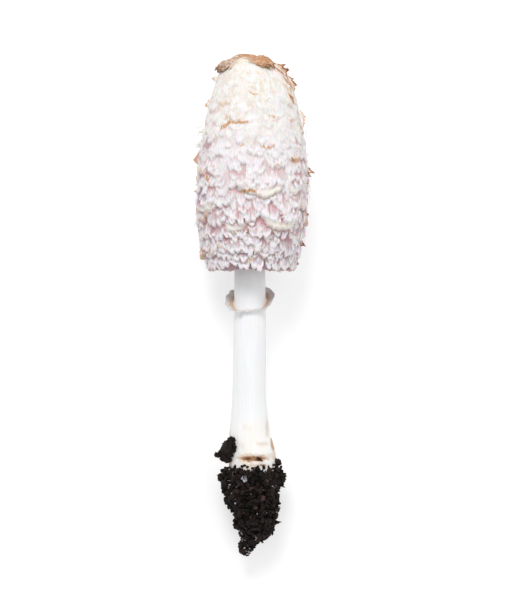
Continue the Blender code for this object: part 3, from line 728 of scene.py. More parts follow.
def buildCap():
    c = capChoices
    draw = random.Random(c["seed"])
    shape = Shape("shaggyCap")
    coat = Coat()
    for scale in scaleLayout():
        coat.lay(draw, scale)
    for _ in range(c["tufts"]):
        share = draw.random() ** 0.85
        lift = 0.15 + along(c["rows"]["lift"], share)
        coat.lay(draw, {
            "down": blend((13, bellLengths[-1] - 6.0), share), "lively": draw.random() < c["livelyTufts"],
            "angle": draw.uniform(0, math.tau), "length": draw.uniform(*c["tuftLengths"]),
            "width": draw.uniform(*c["tuftWidths"]), "lift": lift * draw.uniform(0.5, 1.1 - 0.35 * share),
            "curl": draw.uniform(-0.2, 1.2) * (0.3 + share), "yaw": draw.uniform(-0.25, 0.25),
            "share": share, "lobes": draw.choice((1, 1, 2)),
        })
    for turn, down, width, lobes in c["marginScales"]:
        coat.lay(draw, {
            "down": down, "angle": facing(turn), "length": bellLengths[-1] + 1.8 - down, "width": width,
            "lift": 1.3, "curl": 0.2, "yaw": 0, "lively": False, "share": 1, "lobes": lobes,
        })
    for scale in c["broadScales"]:
        coat.layBroad(draw, scale)
    for crust in c["crusts"]:
        coat.layCrust(crust)
    addFlesh(shape, coat.cover(shape))
    for frill in c["frills"]:
        addFrill(shape, draw, frill)
    for wisp in c["wisps"]:
        addWisp(shape, wisp)
    for _ in range(c["hairs"]):
        down = blend((18, bellLengths[-1] - 2), draw.random())
        angle = draw.uniform(0, math.tau)
        if pressedShare(angle) > 0.9:
            length, lift = draw.uniform(*c["hairLengths"]), draw.uniform(*c["hairLifts"])
            addHair(shape, draw, down, angle, length, lift, 1.0 if draw.random() < c["tanHairs"] else 0.1)
    count = c["longGills"]
    for number in range(count):
        for part, (edge, thick) in enumerate(c["gillEdges"]):
            addGill(shape, draw, number * math.tau / count + part * math.pi / count, edge, thick)
    return makePiece(shape, capLook(), capCourse, "cap")


def capLook():
    c = capChoices
    look = Look("shaggyScales", c["surface"])
    # the first number kept at each point, step, is painted shade: dark at the scales' roots, between their
    # fingers and in hollows, light at their tips
    step, tan, pink, cream = look.parts()
    low = look.stretch(look.axis("Y"), 0.092, 0.012)  # 0 at the crown, 1 at the margin
    fibre, fine, streak, patch = (look.grain(*c[name]) for name in ("fibre", "fine", "streak", "patch"))
    calm = look.times(look.stretch(low, 0.05, 0.45, 0.3, 1), look.stretch(cream, 0.3, 0.8, 1, 0.45))
    shade = look.sum(step, look.times(look.stretch(fibre, 0.3, 0.7, -0.34, 0.34), calm))
    blush = look.sum(look.stretch(low, 0.2, 0.76), pink)
    blush = look.sum(blush, look.stretch(patch, 0.35, 0.65, -0.25, 0.25))
    upper = look.times(look.stretch(low, 0.36, 0.1), look.stretch(streak, 0.47, 0.62))
    # painted shade: shadowTone, then pink and, towards the margin, mauve, show where the painted shade is
    # low, and the white goes over them as far as the shade allows; pink is partly the cap's own flush
    look.colour = c["shadowTone"]
    look.paint(c["pink"], blush, 0, 1)
    look.paint(c["mauve"], low, 0.7, 1.05)
    # partly painted shadow: the grey of bruises and of shadowed hollows beneath scales
    look.paint(c["bruiseAndShadow"], pink, 0.8, 1.5)
    look.paint(look.mix(look.stretch(low, 0.2, 0.95), c["white"], c["lowWhite"]), shade, 0.22, 0.98)
    look.paint(c["upper"], low, 0.35, -0.05, 0, 0.35)
    look.paint(c["streaks"], upper, 0, 1, 0, 0.6)
    # painted highlight: a bright tone on the lightest scale tips, stronger towards the margin
    look.paint(c["tipHighlight"], look.times(look.stretch(step, 0.85, 1.2, 0, 0.7), low))
    look.paint(c["cream"], look.times(cream, 0.85))
    dry = look.times(tan, look.stretch(fine, 0.3, 0.7, 0.4, 1.4))
    look.paint(c["tan"], dry, 0.25, 1.0)
    look.paint(c["brown"], dry, 1.05, 1.7)
    lines = look.times(look.stretch(fine, 0.42, 0.7, 0, 0.55), calm)
    look.colour = look.mix(lines, look.colour, c["pink"], "MULTIPLY")
    normal = look.bump(fine, 0.35, 0.0002, look.bump(fibre, 0.55, 0.0004))
    return look.done(normal, look.stretch(fine, 0.2, 0.8, 0.6, 0.85))


# The crown's torn skin. Sizes in mm, turns in degrees right of the front, colours linear
crownChoices = {
    "seed": 12, "sides": 216, "rings": 16, "dome": 0.3,
    "uneven": 40,  # how many places round the edge reach and curl differently
    "flaps": [(196, 1.5, 6), (-14, 0.8, 8)],  # curled-up places: degrees from +X, lift and sharpness
    "torn": ((5, 1.3), (15, 1.3), (34, 1.0)),  # how closely and how deeply the edge is torn
    # how dark and how curled the edge is, at turns
    "darkness": [(-180, 0.6), (-100, 1.0), (-82, 1.3), (-68, 1.0), (-52, 0.55), (-34, 0.14), (-15, 0.1),
                 (10, 0.3), (30, 0.75), (45, 1.1), (60, 0.7), (90, 0.6), (180, 0.6)],
    "curling": [(-180, 1.0), (-100, 1.0), (-80, 0.8), (-62, 0.25), (0, 0.2), (25, 0.4), (42, 0.9), (52, 0.9),
                (62, 0.3), (100, 0.6), (180, 1.0)],
    # the pale layer and the tan one over it: clearance from the flesh, its limits, thickness, how far the
    # edge sinks, curl, wrinkles, how pale it is, and how far it reaches down from the apex, at turns
    "layers": [
        {"clear": 0.2, "least": 0.12, "most": 0.25, "thick": 0.14, "sink": 0.75, "curl": 0.1, "wrinkle": 0.3,
         "pale": 1, "number": 3,
         "reach": [(-180, 17), (-150, 18), (-120, 16), (-90, 18), (-70, 18.6), (-45, 17.2), (-25, 14.6),
                   (-10, 12.6), (5, 14.4), (20, 17.4), (40, 18.2), (50, 17.0), (58, 13.5), (66, 11.5),
                   (80, 12), (95, 14), (110, 16), (130, 18), (160, 16.5), (180, 17)]},
        {"clear": 0.6, "least": 0.48, "most": 3.0, "thick": 0.18, "sink": 0, "curl": 1.0, "wrinkle": 0.75,
         "pale": 0, "number": 8,
         "reach": [(-180, 14.5), (-150, 16), (-120, 13), (-100, 15.5), (-80, 16.6), (-62, 16.8), (-45, 15),
                   (-30, 11.6), (-20, 9.2), (-8, 9.2), (2, 12.0), (10, 13.8), (22, 15.2), (38, 15.7),
                   (46, 15.2), (53, 11.8), (60, 8.8), (75, 8.0), (90, 9.0), (105, 11.0), (120, 14),
                   (150, 13.5), (180, 14.5)]}],
    "tan": (0.54, 0.29, 0.15), "deep": (0.30, 0.12, 0.055), "grey": (0.58, 0.49, 0.41),
    "pale": (0.86, 0.80, 0.70), "burnt": (0.16, 0.07, 0.04), "under": (0.62, 0.48, 0.35),
    "dry": (0.56, 0.41, 0.28),
    "patch": ("object", (150, 150, 150), 4, 0.6), "fibre": ("strand", (0.5, 0.5, 4.2), 5, 0.68, 1.1),
    "strands": ("strand", (1.5, 1.5, 0.8), 4, 0.65, 0.4),
    "surface": {"Roughness": 0.7, "Specular IOR Level": 0.3},
}


def addCrownLayer(shape, reaches, curls, layer):
    # one layer of the torn skin, with its upper and its lower face
    c, number = crownChoices, layer["number"]
    loops = {1: [], -1: []}
    for ring in range(1, c["rings"] + 1):
        share = (ring / c["rings"]) ** 0.85
        for face in (1, -1):
            loop = []
            for side, angle, x, y in turns(c["sides"]):
                turn = fromFront(angle)
                reach = along(layer["reach"], turn) + around(reaches, side / c["sides"])
                for fine, depth in c["torn"]:
                    reach += depth * rough(x * fine, y * fine, number)
                curl = around(curls, side / c["sides"])
                for way, lift, sharpness in c["flaps"]:
                    curl += lift * max(0, math.cos(angle - math.radians(way))) ** sharpness
                curl *= layer["curl"] * along(c["curling"], turn)
                row = bellRow(reach * share)
                wrinkle = 0.9 * rough(x * 3 * share, y * 3 * share, number)
                wrinkle += 0.45 * rough(x * 11 * share, y * 11 * share, number)
                wrinkle += 1.3 * rough(row[0] * x * 0.42, row[0] * y * 0.42, 5.3)
                dark = along(c["darkness"], turn)
                close = max(0, 1 - 1.6 * dark) * eased((share - 0.45) / 0.35)  # it clings to the wool there
                above = layer["clear"] + c["dome"] * (1 - share) + curl * share ** 5
                above = min(max(above + wrinkle * layer["wrinkle"], layer["least"]), layer["most"])
                above = blend((above, min(above, layer["least"])), close) + face * layer["thick"] / 2
                above -= (layer["sink"] + 0.4 * max(0, 0.6 - dark)) * eased((share - 0.8) / 0.2)
                loop.append(shape.point(onBell(row, angle, above),
                                        (share, (face + 1) / 2, layer["pale"], dark),
                                        (row[0] * x, row[0] * y, reach * share * 0.2)))
            loops[face].append(loop)
    for face in (1, -1):
        peak = min(layer["clear"] + c["dome"], layer["most"])
        top = shape.point(Vector((0, 0, bell[0][1] + peak + face * layer["thick"] / 2)),
                          (0, (face + 1) / 2, layer["pale"], 0))
        shape.fan(top, loops[face][0])
        shape.skin(loops[face])
    shape.skin([loops[1][-1], loops[-1][-1]])


def buildCrown():
    c = crownChoices
    draw = random.Random(c["seed"])
    reaches, curls = [], []
    for _ in range(c["uneven"]):
        reaches.append(draw.uniform(-0.5, 0.4))
        curls.append(draw.uniform(-0.1, 0.9))
    shape = Shape("crownSkin")
    for layer in c["layers"]:
        addCrownLayer(shape, reaches, curls, layer)
    return makePiece(shape, crownLook(), capCourse, "crown")


def crownLook():
    c = crownChoices
    look = Look("tornSkin", c["surface"])
    reach, _, pale, darkness = look.parts()
    patch, fibre, strands = (look.grain(*c[name]) for name in ("patch", "fibre", "strands"))
    left = look.times(look.stretch(look.axis("X"), -0.003, -0.007), look.stretch(strands, 0.36, 0.56, 0.1, 1))
    edge = look.sum(reach, look.stretch(fibre, 0.3, 0.7, -0.09, 0.09))
    look.colour = c["tan"]
    look.paint(c["pale"], patch, 0.56, 0.8, 0, 0.45)
    look.paint(c["grey"], left)
    look.paint(c["pale"], fibre, 0.44, 0.3, 0, 0.55)
    look.paint(c["deep"], fibre, 0.47, 0.62, 0, 0.85)
    look.paint(c["burnt"], look.times(look.stretch(edge, 0.82, 1.0, 0, 0.9), darkness))
    frayed = look.times(look.stretch(edge, 0.8, 0.97), look.sum(0.4, darkness, "SUBTRACT"))
    look.paint(c["pale"], frayed, 0, 0.3, 0, 0.7)
    dry = look.times(look.stretch(edge, 0.55, 0.85, 0, 0.9), look.stretch(darkness, 0.1, 0.5, 0.15, 1))
    under = look.mix(look.stretch(strands, 0.45, 0.65, 0, 0.8), c["pale"], c["under"])
    look.paint(look.mix(dry, under, c["dry"]), pale)
    return look.done(look.bump(fibre, 0.7, 0.0005), look.stretch(fibre, 0.2, 0.8, 0.55, 0.85))


# The stem. Sizes in mm, colours linear
stemChoices = {
    "outline": [(0, 212.8), (4.6, 212.6), (5.4, 211.2), (6.2, 180), (6.8, 124), (7.05, 104), (7.1, 88),
                (7.4, 70), (8.0, 62), (8.9, 55), (9.9, 48.5), (10.4, 43), (10.2, 37), (8.8, 30.5),
                (5.6, 26.6), (0, 25.6)],
    "sides": 96,
    "fineHeights": (39, 50), "fineStep": 0.45, "step": 1.3,  # the rows are close where the slits are
    # torn places: x, height, half width, half height, depth and how brown
    "slits": [(0.7, 43.3, 5.2, 0.95, 0.45, 0.72), (-2.0, 43.0, 1.7, 0.5, 0.8, 1.0),
              (2.6, 43.1, 1.6, 0.75, 0.9, 1.15), (4.8, 40.4, 1.4, 0.35, 0.4, 1.0),
              (-6.7, 43.2, 1.3, 0.22, 0.2, 0.8)],
    # stains: x, height, half width, half height and how strong
    "stains": [(0.9, 43.4, 6.2, 1.8, 0.9), (9.4, 49.0, 0.7, 2.5, 2.2), (10.0, 45.0, 0.7, 3.0, 0.6),
               (5.0, 49.6, 2.2, 0.9, 0.4), (2.0, 39.8, 4.0, 1.4, 0.6), (-9.8, 42.0, 0.8, 3.0, 0.6),
               (-4.0, 49.0, 1.2, 1.4, 0.2), (8.0, 44.5, 2.0, 1.2, 0.4), (7.6, 56.0, 0.6, 4.0, 0.4),
               (-8.6, 54.0, 0.6, 5.0, 0.35)],
    "white": (0.86, 0.87, 0.88), "fibres": (0.74, 0.74, 0.74), "foot": (0.90, 0.88, 0.84),
    "warm": (0.84, 0.74, 0.56), "tan": (0.50, 0.27, 0.12), "dry": (0.36, 0.17, 0.065),
    "stain": (0.13, 0.045, 0.02),
    "fibre": ("object", (900, 22, 900), 4, 0.6), "patch": ("object", (90, 60, 90), 4, 0.6),
    "spots": ("object", (210, 120, 210), 3),
    "surface": {"Roughness": 0.5, "Subsurface Weight": 0.1, "Subsurface Scale": 0.002},
}


def stemLoop(shape, radius, height):
    c = stemChoices
    loop = []
    for _, angle, x, y in turns(c["sides"]):
        wave = 0.22 * rough(x * 1.2, y * 1.2, height * 0.045) + 0.07 * rough(x * 9, y * 9, height * 0.03)
        jitter = 0.6 * rough(radius * x * 0.9, height * 1.4, 4)
        jitter += 0.4 * rough(radius * x * 2.6, height * 3, 7)
        deep = brown = stainAndEdgeShade = 0
        for middle, level, wide, tall, depth, dark in c["slits"] if y < 0 else ():
            share = eased(1.6 - math.hypot((radius * x - middle) / wide, (height - level + jitter) / tall))
            deep, brown = max(deep, share * depth), max(brown, share * dark)
        for middle, level, wide, tall, strength in c["stains"] if y < 0.3 else ():
            off = math.hypot((radius * x - middle) / wide, (height - level) / tall)
            stainAndEdgeShade = max(stainAndEdgeShade, eased(1.5 - off + jitter) * strength * eased((0.3 - y) / 0.6))
        # painted shade: the stem is darker and tan towards its left and right sides, partly also its own tan
        dry = 0.22 + 0.4 * rough(x, height * 0.07, 2)
        stainAndEdgeShade = max(stainAndEdgeShade, dry * math.exp(-(y / 0.2) ** 2))  # painted edge shade along its left and right sides, partly also the stem's own tan
        reach = radius + wave - deep
        loop.append(shape.point(Vector((reach * x, reach * y, height)), (deep, brown, stainAndEdgeShade, 0),
                                (angle * radius, height, 0)))
    return loop


def buildStem():
    c = stemChoices
    outline = c["outline"]
    shape = Shape("smoothStem")
    loops = []
    for span in range(1, len(outline) - 2):
        (wide, top), (thin, bottom) = outline[span], outline[span + 1]
        step = c["fineStep"] if c["fineHeights"][0] < top < c["fineHeights"][1] else c["step"]
        parts = max(2, round(abs(top - bottom) / step))
        for part in range(parts):
            radius = curveThrough(outline, span, part / parts)[0][0]
            if span == 1:
                radius = blend((wide, thin), part / parts)
            loops.append(stemLoop(shape, radius, blend((top, bottom), part / parts)))
    shape.tube(loops)
    return makePiece(shape, stemLook(), stemCourse, "stem")


def stemLook():
    c = stemChoices
    look = Look("silkyStem", c["surface"])
    slit, brown, stainAndEdgeShade, _ = look.parts()
    fibre, patch, spots = (look.grain(*c[name]) for name in ("fibre", "patch", "spots"))
    foot = look.stretch(look.axis("Y"), -0.045, -0.07)
    look.colour = c["white"]
    look.paint(c["fibres"], fibre, 0.35, 0.7, 0, 0.35)
    look.paint(c["foot"], foot, 0, 1, 0, 0.8)
    look.paint(c["warm"], look.times(foot, look.stretch(patch, 0.46, 0.66)), 0, 1, 0, 0.6)
    look.paint(c["tan"], look.times(look.stretch(spots, 0.6, 0.72), foot), 0, 1, 0, 0.4)
    # the real stains, and the painted edge shade along the sides, in tan
    look.paint(c["tan"], look.times(stainAndEdgeShade, look.stretch(patch, 0.35, 0.65, 0.4, 1.2)))
    look.paint(c["dry"], slit, 0.05, 0.4)
    look.paint(c["stain"], look.sum(brown, look.stretch(patch, 0.3, 0.7, -0.3, 0.3)), 0.6, 1.0)
    return look.done(look.bump(fibre, 0.25, 0.0003), look.stretch(patch, 0.3, 0.7, 0.42, 0.6))


# The loose ring. Sizes in mm, angles in degrees, colours linear
ringChoices = {
    "seed": 13, "sides": 216, "steps": 10, "height": 112.0, "tip": 27.0, "slope": 5.0, "inner": 7.2,
    "width": 3.65, "frontWidth": 1.3, "uneven": 36, "cup": 1.5, "thick": 0.22,
    "inside": (0.60, 0.44, 0.29), "outside": (0.66, 0.66, 0.66), "fibres": (0.84, 0.82, 0.80),
    "edge": (0.34, 0.26, 0.20),
    "fibre": ("strand", (0.8, 2.2, 1), 4, 0.6),
    "surface": {"Roughness": 0.7, "Subsurface Weight": 0.1, "Subsurface Scale": 0.001},
}


def buildRing():
    c = ringChoices
    draw = random.Random(c["seed"])
    widths = []
    for _, _, _, y in turns(c["uneven"]):
        width = c["width"] + draw.uniform(-0.35, 0.35)
        widths.append(blend((width, c["frontWidth"]), max(0.0, -y) ** 2))
    shape = Shape("looseRing")
    loops = {1: [], -1: []}
    tip, slope = math.tan(math.radians(c["tip"])), math.tan(math.radians(c["slope"]))
    for step in range(c["steps"] + 1):
        share = step / c["steps"]
        for face in (1, -1):
            loop = []
            for side, angle, x, y in turns(c["sides"]):
                front = max(0.0, -y) ** 2
                ragged = 0.8 * rough(x * 6, y * 6, 1) + 0.5 * rough(x * 17, y * 17, 2)
                width = around(widths, side / c["sides"]) + ragged * (1 - 0.6 * front)
                radius = c["inner"] + width * share
                low = min(1, -1.4 * y) if y < 0 else -y
                height = c["height"] - tip * radius * low
                height += slope * radius * x + c["cup"] * (1 - front) * share ** 2
                height += 0.7 * rough(x * 5, y * 5, share) * share + face * c["thick"] / 2
                loop.append(shape.point(Vector((radius * x, radius * y, height)),
                                        (share, (face + 1) / 2, front, 0), (angle * 9, radius, 0)))
            loops[face].append(loop)
    for rows in (loops[1], loops[-1], (loops[1][-1], loops[-1][-1]), (loops[1][0], loops[-1][0])):
        shape.skin(rows)
    return makePiece(shape, ringLook(), stemCourse, "ring")


def ringLook():
    c = ringChoices
    look = Look("ringMembrane", c["surface"])
    share, upper, front, _ = look.parts()
    fibre = look.grain(*c["fibre"])
    edge = look.sum(share, look.stretch(fibre, 0.3, 0.7, -0.15, 0.15))
    rim = look.sum(look.stretch(edge, 0.4, 0.6), look.stretch(front, 0.3, 0.7, 0, 0.85))
    look.colour = c["outside"]
    look.paint(look.mix(look.stretch(rim, 0, 1), c["inside"], c["outside"]), upper)
    look.paint(c["fibres"], fibre, 0.45, 0.7, 0, 0.4)
    look.paint(c["edge"], edge, 0.97, 1.1, 0, 0.5)
    return look.done(look.bump(fibre, 0.5, 0.0004))


# The soil. Sizes in mm, colours linear
soilChoices = {
    "seed": 14,
    "outline": [(0, 39.4), (9.6, 39.2), (11.6, 38.0), (12.4, 35.6), (12.6, 32.8), (12.2, 30.0), (11.6, 27.2),
                (10.9, 24.4), (10.1, 21.6), (9.3, 18.8), (8.5, 16.0), (7.6, 13.2), (6.5, 10.4), (4.9, 7.6),
                (3.0, 4.8), (2.0, 2.4), (0, 1.2)],
    "course": [(0, -2.2), (4, -1.8), (6.5, 0.8), (10, 2.4), (15, 2.6), (20, 1.9), (25, 1.4), (31, 0.5),
               (40, 1.2)],
    "sides": 120, "sag": 0.8, "lumps": (5.5, 0.2), "grains": (2.1, 0.2),
    "crumbShape": ((1.2, 0.55), (2.9, 0.38), (6.5, 0.34)),  # how close and how deep a crumb's lumps are
    "crumbs": 36, "crumbHeights": (37.5, 3.5), "crumbSizes": (1.5, 2.9),
    "looseCrumbs": [((12.4, -3, 41.3), 1.5), ((14.6, -2, 33.6), 1.0), ((-12.6, -3, 34.6), 1.4),
                    ((11.0, -2, 39.2), 2.0), ((-3.0, 0, 2.4), 2.1), ((-1.4, -0.5, 1.2), 1.4)],
    "smallCrumbs": 2600, "specks": 60, "threads": 22,
    # crumbs that climbed onto the stem's foot: x, height and size
    "climbers": [(3.3, 43.0, 0.55), (2.6, 43.4, 0.4), (4.2, 42.5, 0.4), (-4.4, 39.9, 0.9), (-3.2, 40.4, 0.7),
                 (-2.0, 39.6, 0.8), (2.2, 39.8, 0.6), (5.0, 39.6, 0.9), (9.0, 40.2, 0.9), (-7.4, 39.8, 0.8),
                 (7.0, 39.4, 0.8), (0.2, 39.2, 0.7), (10.3, 42.0, 0.6)],
    # clusters of pale specks: x, height, reach and how many
    "paleClusters": [(-2.6, 34.6, 1.3, 26), (11.0, 31.6, 1.3, 12), (-4.0, 6.0, 2.6, 40), (3.0, 7.6, 1.4, 8),
                     (-9.0, 31.0, 1.0, 5), (-0.6, 1.6, 1.2, 14), (-6.0, 10.5, 1.2, 8)],
    # reddish lumps: x, height and size
    "redLumps": [(5.4, 26.0, 1.3), (2.5, 22.0, 1.0), (-8.0, 36.0, 1.1), (-4.0, 20.0, 0.9), (7.0, 33.5, 1.0),
                 (2.0, 38.8, 1.0), (0.4, 30.4, 0.9)],
    "dark": (0.0035, 0.0025, 0.0023), "light": (0.030, 0.019, 0.015), "speck": (0.22, 0.13, 0.11),
    "pale": (0.46, 0.48, 0.54), "red": (0.080, 0.044, 0.037),
    "coarse": ("object", (300, 300, 300), 5, 0.65), "fine": ("object", (1500, 1500, 1500), 4, 0.7),
    "surface": {"Roughness": 0.85, "Specular IOR Level": 0.2},
}
clodChoices = {
    "seed": 15, "radius": 3.4, "stretch": (0.95, 1.2, 1.4), "place": (-9.2, -4.4, 47.3), "lean": 33.0,
    "bumps": (2.4, 0.34),
    "lumps": [((-12.6, -4.4, 45.2), 1.9), ((-9.9, -5.8, 48.6), 1.5), ((-8.2, -6.8, 51.4), 1.7),
              ((-14.3, -4.6, 44.8), 1.3), ((-7.6, -7.8, 48.6), 1.8), ((-10.0, -5.4, 42.4), 1.5)],
    "smallCrumbs": 150, "stemClear": 9.4,  # none is closer than this to the stem's middle
}


def ballForm(level):
    work = bmesh.new()
    bmesh.ops.create_icosphere(work, subdivisions=level, radius=1)
    work.verts.index_update()
    points = [vert.co.copy() for vert in work.verts]
    faces = [tuple(vert.index for vert in face.verts) for face in work.faces]
    work.free()
    return points, faces


ballForms = {level: ballForm(level) for level in (1, 2, 3)}


def addCrumb(shape, draw, place, size, level, kind=0.0):
    # one uneven lump; kind is 0 for soil and 1 for a pale speck
    points, faces = ballForms[level]
    number = Vector([draw.uniform(0, 90) for _ in range(3)])
    slim = 1 if level > 2 else draw.uniform(0.8, 1.6) + 0.9 * draw.random() ** 5
    sizes = draw.uniform(0.8, 1.2) * slim, draw.uniform(0.8, 1.1), draw.uniform(0.7, 1.1) / slim
    stretch = Matrix.Diagonal(sizes)
    spin = draw.uniform(0, math.tau)
    turn = Matrix.Rotation(spin, 3, Vector((draw.uniform(-1, 1), draw.uniform(-1, 1), 1)))
    tone = draw.uniform(0, 1)
    start = len(shape.points)
    for point in points:
        swell = 1
        for close, depth in soilChoices["crumbShape"][:level]:
            swell += depth * noise.noise(point * close + number)
        here = Vector(place) + turn @ (stretch @ point) * size * swell
        shape.point(here, (tone, kind, 0, 0), (tone * 9, 0, 0))
    shape.faces.extend(tuple(start + corner for corner in face) for face in faces)


def addThread(shape, draw, place, way, length, thin):
    loops = []
    bend = Vector([draw.uniform(-1, 1) for _ in range(3)])
    side = way.orthogonal().normalized()
    other = way.cross(side).normalized()
    for step in range(7):
        v = step / 6
        middle = Vector(place) + way * length * v + bend * length * 0.35 * v * v
        size = thin * (1 - 0.7 * v)
        loops.append([shape.point(middle + (side * math.cos(a) + other * math.sin(a)) * size, (1, 1, 0, 0))
                      for a in (0.2, 1.77, 3.34, 4.91)])
    shape.tube(loops)


def soilRadius(height):
    return along([(h, r) for r, h in reversed(soilChoices["outline"])], height)


def soilSwell(probe):
    # how far the clump's lumps and grains stand out at a place
    c = soilChoices
    return sum((noise.noise(probe / size) * share for size, share in (c["lumps"], c["grains"])), 1)


def hung(x, y, height):
    # a place of the upright clump, bent along its course and hanging a little
    return Vector((x + along(soilChoices["course"], height), y + soilChoices["sag"], height))


def soilPlace(height, angle, over):
    x, y = math.cos(angle), math.sin(angle)
    radius = soilRadius(height)
    radius = radius * soilSwell(Vector((radius * x, radius * y, height))) + over
    return hung(radius * x, radius * y, height)


def frontPlace(x, height):
    # a place on the front of the clump
    radius = 0.97 * soilRadius(max(2.2, height))
    side = min(max((x - along(soilChoices["course"], height)) / radius, -0.95), 0.95)
    return hung(side * radius, -radius * math.sqrt(1 - side ** 2), height)


def stemFront(x, height):
    # a place on the front of the stem
    outline = stemChoices["outline"]
    for (r0, z0), (r1, z1) in zip(outline, outline[1:]):
        if z1 <= height <= z0:
            radius = blend((r0, r1), (z0 - height) / (z0 - z1))
    return Vector((x + along(stemCourse, height), -math.sqrt(max(0, radius ** 2 - x ** 2)), height))


def buildSoil():
    c = soilChoices
    draw = random.Random(c["seed"])
    shape = Shape("soilClump")
    loops = []
    for span in range(1, len(c["outline"]) - 2):
        for part in range(4):
            radius, height = curveThrough(c["outline"], span, part / 4)[0]
            loop = []
            for _, angle, x, y in turns(c["sides"]):
                probe = Vector((radius * x, radius * y, height))
                swell = soilSwell(probe) + 0.12 * noise.noise(probe / 0.9) - 0.05
                loop.append(shape.point(hung(probe.x * swell, probe.y * swell, height), (0.5, 0, 0, 0),
                                        (angle, height, 0)))
            loops.append(loop)
    shape.tube(loops)
    golden = math.pi * (3 - math.sqrt(5))
    for number in range(c["crumbs"]):
        height = blend(c["crumbHeights"], number / c["crumbs"])
        angle = number * golden + draw.uniform(-0.3, 0.3)
        radius = soilRadius(height) + draw.uniform(-2.6, -1.2)
        place = hung(radius * math.cos(angle), radius * math.sin(angle), height)
        addCrumb(shape, random.Random(number), place, 0.85 * draw.uniform(*c["crumbSizes"]), 3)
    for number, (place, size) in enumerate(c["looseCrumbs"]):
        addCrumb(shape, random.Random(100 + number), (place[0], place[1] + c["sag"], place[2]), size, 3)
    for _ in range(c["smallCrumbs"]):
        height = blend((2.0, 39.0), draw.random() ** 0.75)
        size = 0.28 + 0.95 * draw.random() ** 2.4
        place = soilPlace(height, draw.uniform(0, math.tau), size * draw.uniform(-0.5, 0.6))
        addCrumb(shape, draw, place, size, 2 if size > 0.62 else 1)
    for x, height, size in c["climbers"]:
        addCrumb(shape, draw, stemFront(x, height), size, 2)
    for x, height, size in c["redLumps"]:
        addCrumb(shape, draw, frontPlace(x, height), size, 3, 0.35)
    for x, height, reach, count in c["paleClusters"]:
        for _ in range(count):
            place = frontPlace(x + draw.gauss(0, 0.5) * reach, height + draw.gauss(0, 0.5) * reach)
            place -= Vector((0, draw.uniform(0.5, 1.1), 0))
            addCrumb(shape, draw, place, draw.uniform(0.2, 0.55), 1, draw.uniform(0.9, 1))
    for _ in range(c["specks"]):
        height = blend((3.0, 38.5), draw.random())
        place = soilPlace(height, draw.uniform(0, math.tau), draw.uniform(0.3, 1.1))
        addCrumb(shape, draw, place, draw.uniform(0.16, 0.42), 1, draw.uniform(0.5, 1))
    for _ in range(c["threads"]):
        height = blend((4.0, 38.0), draw.random())
        angle = draw.uniform(0, math.tau)
        way = Vector((math.cos(angle), math.sin(angle), draw.uniform(-1, 1))).normalized()
        way = (way + Vector((-math.sin(angle), math.cos(angle), 0)) * draw.uniform(-1.5, 1.5)).normalized()
        addThread(shape, draw, soilPlace(height, angle, -0.2), way, draw.uniform(1.0, 2.8), 0.11)
    return makePiece(shape, soilLook("crumblySoil"), straight, "soil", 35)


def buildSideClod():
    c = clodChoices
    draw = random.Random(c["seed"])
    shape = Shape("soilSideClod")
    points, faces = ballForms[3]
    lean = Matrix.Rotation(math.radians(c["lean"]), 3, "Y")
    middle = Vector(c["place"])
    size, share = c["bumps"]
    for point in points:
        ball = point * c["radius"]
        swell = 1 + share * noise.noise(ball / size) + 0.1 * noise.noise(ball / 0.8)
        ball = Vector([a * b * swell for a, b in zip(ball, c["stretch"])])
        shape.point(lean @ ball + middle, (0.5, 0, 0, 0))
    shape.faces.extend(faces)
    for number, (place, size) in enumerate(c["lumps"]):
        addCrumb(shape, random.Random(200 + number), place, size, 3)
    for _ in range(c["smallCrumbs"]):
        x, y, z = Vector([draw.gauss(0, 1) for _ in range(3)]).normalized()
        place = middle + Vector((x * 3.0 + 1.7 * z, y * 4.4, z * 5.0)) * draw.uniform(0.85, 1.08)
        if math.hypot(place.x, place.y) > c["stemClear"]:
            size = 0.3 + 0.9 * draw.random() ** 2
            addCrumb(shape, draw, place, size, 1, 1.0 if draw.random() < 0.05 else 0)
    return makePiece(shape, soilLook("crumblyClod"), straight, "side_clod", 35)


def soilLook(name):
    c = soilChoices
    look = Look(name, c["surface"])
    tone, kind = look.parts()[:2]
    coarse, fine = look.grain(*c["coarse"]), look.grain(*c["fine"])
    share = look.sum(look.stretch(coarse, 0.38, 0.66, 0, 0.9), look.stretch(tone, 0, 1, -0.3, 0.3))
    look.colour = c["dark"]
    look.paint(c["light"], share)
    look.paint(c["speck"], fine, 0.66, 0.78, 0, 0.6)
    look.paint(c["red"], kind, 0.2, 0.35)
    look.paint(look.mix(look.stretch(tone, 0.3, 0.4), c["speck"], c["pale"]), kind, 0.5, 0.9)
    normal = look.bump(fine, 0.6, 0.0003, look.bump(coarse, 0.7, 0.0008))
    return look.done(normal, look.stretch(coarse, 0.3, 0.7, 0.6, 0.95))


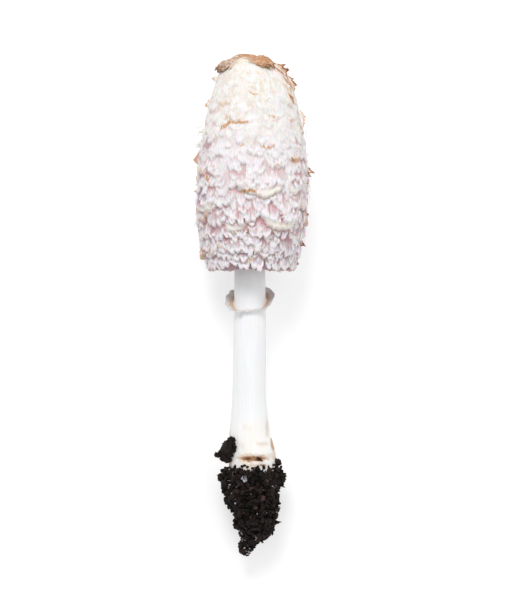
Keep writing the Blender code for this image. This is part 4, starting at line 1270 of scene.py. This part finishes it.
# The room: floor, light and camera. Lengths in metres, the camera's elevation in degrees
roomChoices = {
    "floor": 3.0, "below": 0.0002, "floorColour": (0.48, 0.48, 0.48), "floorGrain": (0.50, 0.50, 0.50),
    "grain": ("object", (400, 400, 400), 2), "background": 0.66,
    "surface": {"Roughness": 0.9, "Emission Color": (1, 1, 1, 1), "Emission Strength": 0.54},
    # place, width and power
    "lights": [((-0.15, 0.75, 0.9), 0.5, 7.2), ((0.45, -0.1, 0.9), 0.8, 1.5)],
    "target": (0.0013, -0.0006, 0.019), "distance": 1.2, "elevation": 86.0, "lens": 160.4,
}


def aimed(way):
    # the rotation of a light or camera that looks along a direction
    return way.to_track_quat("-Z", "Y").to_euler()


def buildRoom():
    c = roomChoices
    half, scene = c["floor"] / 2, bpy.context.scene
    corners = [(x * half, y * half, -c["below"]) for x, y in ((-1, -1), (1, -1), (1, 1), (-1, 1))]
    mesh = bpy.data.meshes.new("paleFloor")
    mesh.from_pydata(corners, [], [(0, 1, 2, 3)])
    look = Look("palePaper", c["surface"])
    grain = look.grain(*c["grain"])
    look.colour = c["floorColour"]
    look.paint(c["floorGrain"], grain)
    mesh.materials.append(look.done(look.bump(grain, 0.05, 0.0002)))
    floor = addObject("paleFloor", mesh)
    world = bpy.data.worlds.new("softRoom")
    world.use_nodes = True
    background = world.node_tree.nodes["Background"].inputs
    background["Color"].default_value = (1, 1, 1, 1)
    background["Strength"].default_value = c["background"]
    scene.world = world
    target = Vector(c["target"])
    for number, (place, size, power) in enumerate(c["lights"]):
        lamp = bpy.data.lights.new(f"softLight{number}", "AREA")
        lamp.shape = "DISK"
        lamp.size = size
        lamp.energy = power
        light = addObject(lamp.name, lamp)
        light.location = place
        light.rotation_euler = aimed(target - Vector(place))
    camera = addObject("camera", bpy.data.cameras.new("camera"))
    camera.data.lens = c["lens"]
    lift = math.radians(c["elevation"])
    back = Vector((0, -math.cos(lift), math.sin(lift)))
    camera.location = target + back * c["distance"]
    camera.rotation_euler = aimed(-back)
    scene.camera = camera
    scene.view_settings.view_transform = "Standard"


buildRoom()
print("room: floor, light and camera are set")
buildStem()
buildRing()
buildSoil()
buildSideClod()
buildCrown()
buildCap()
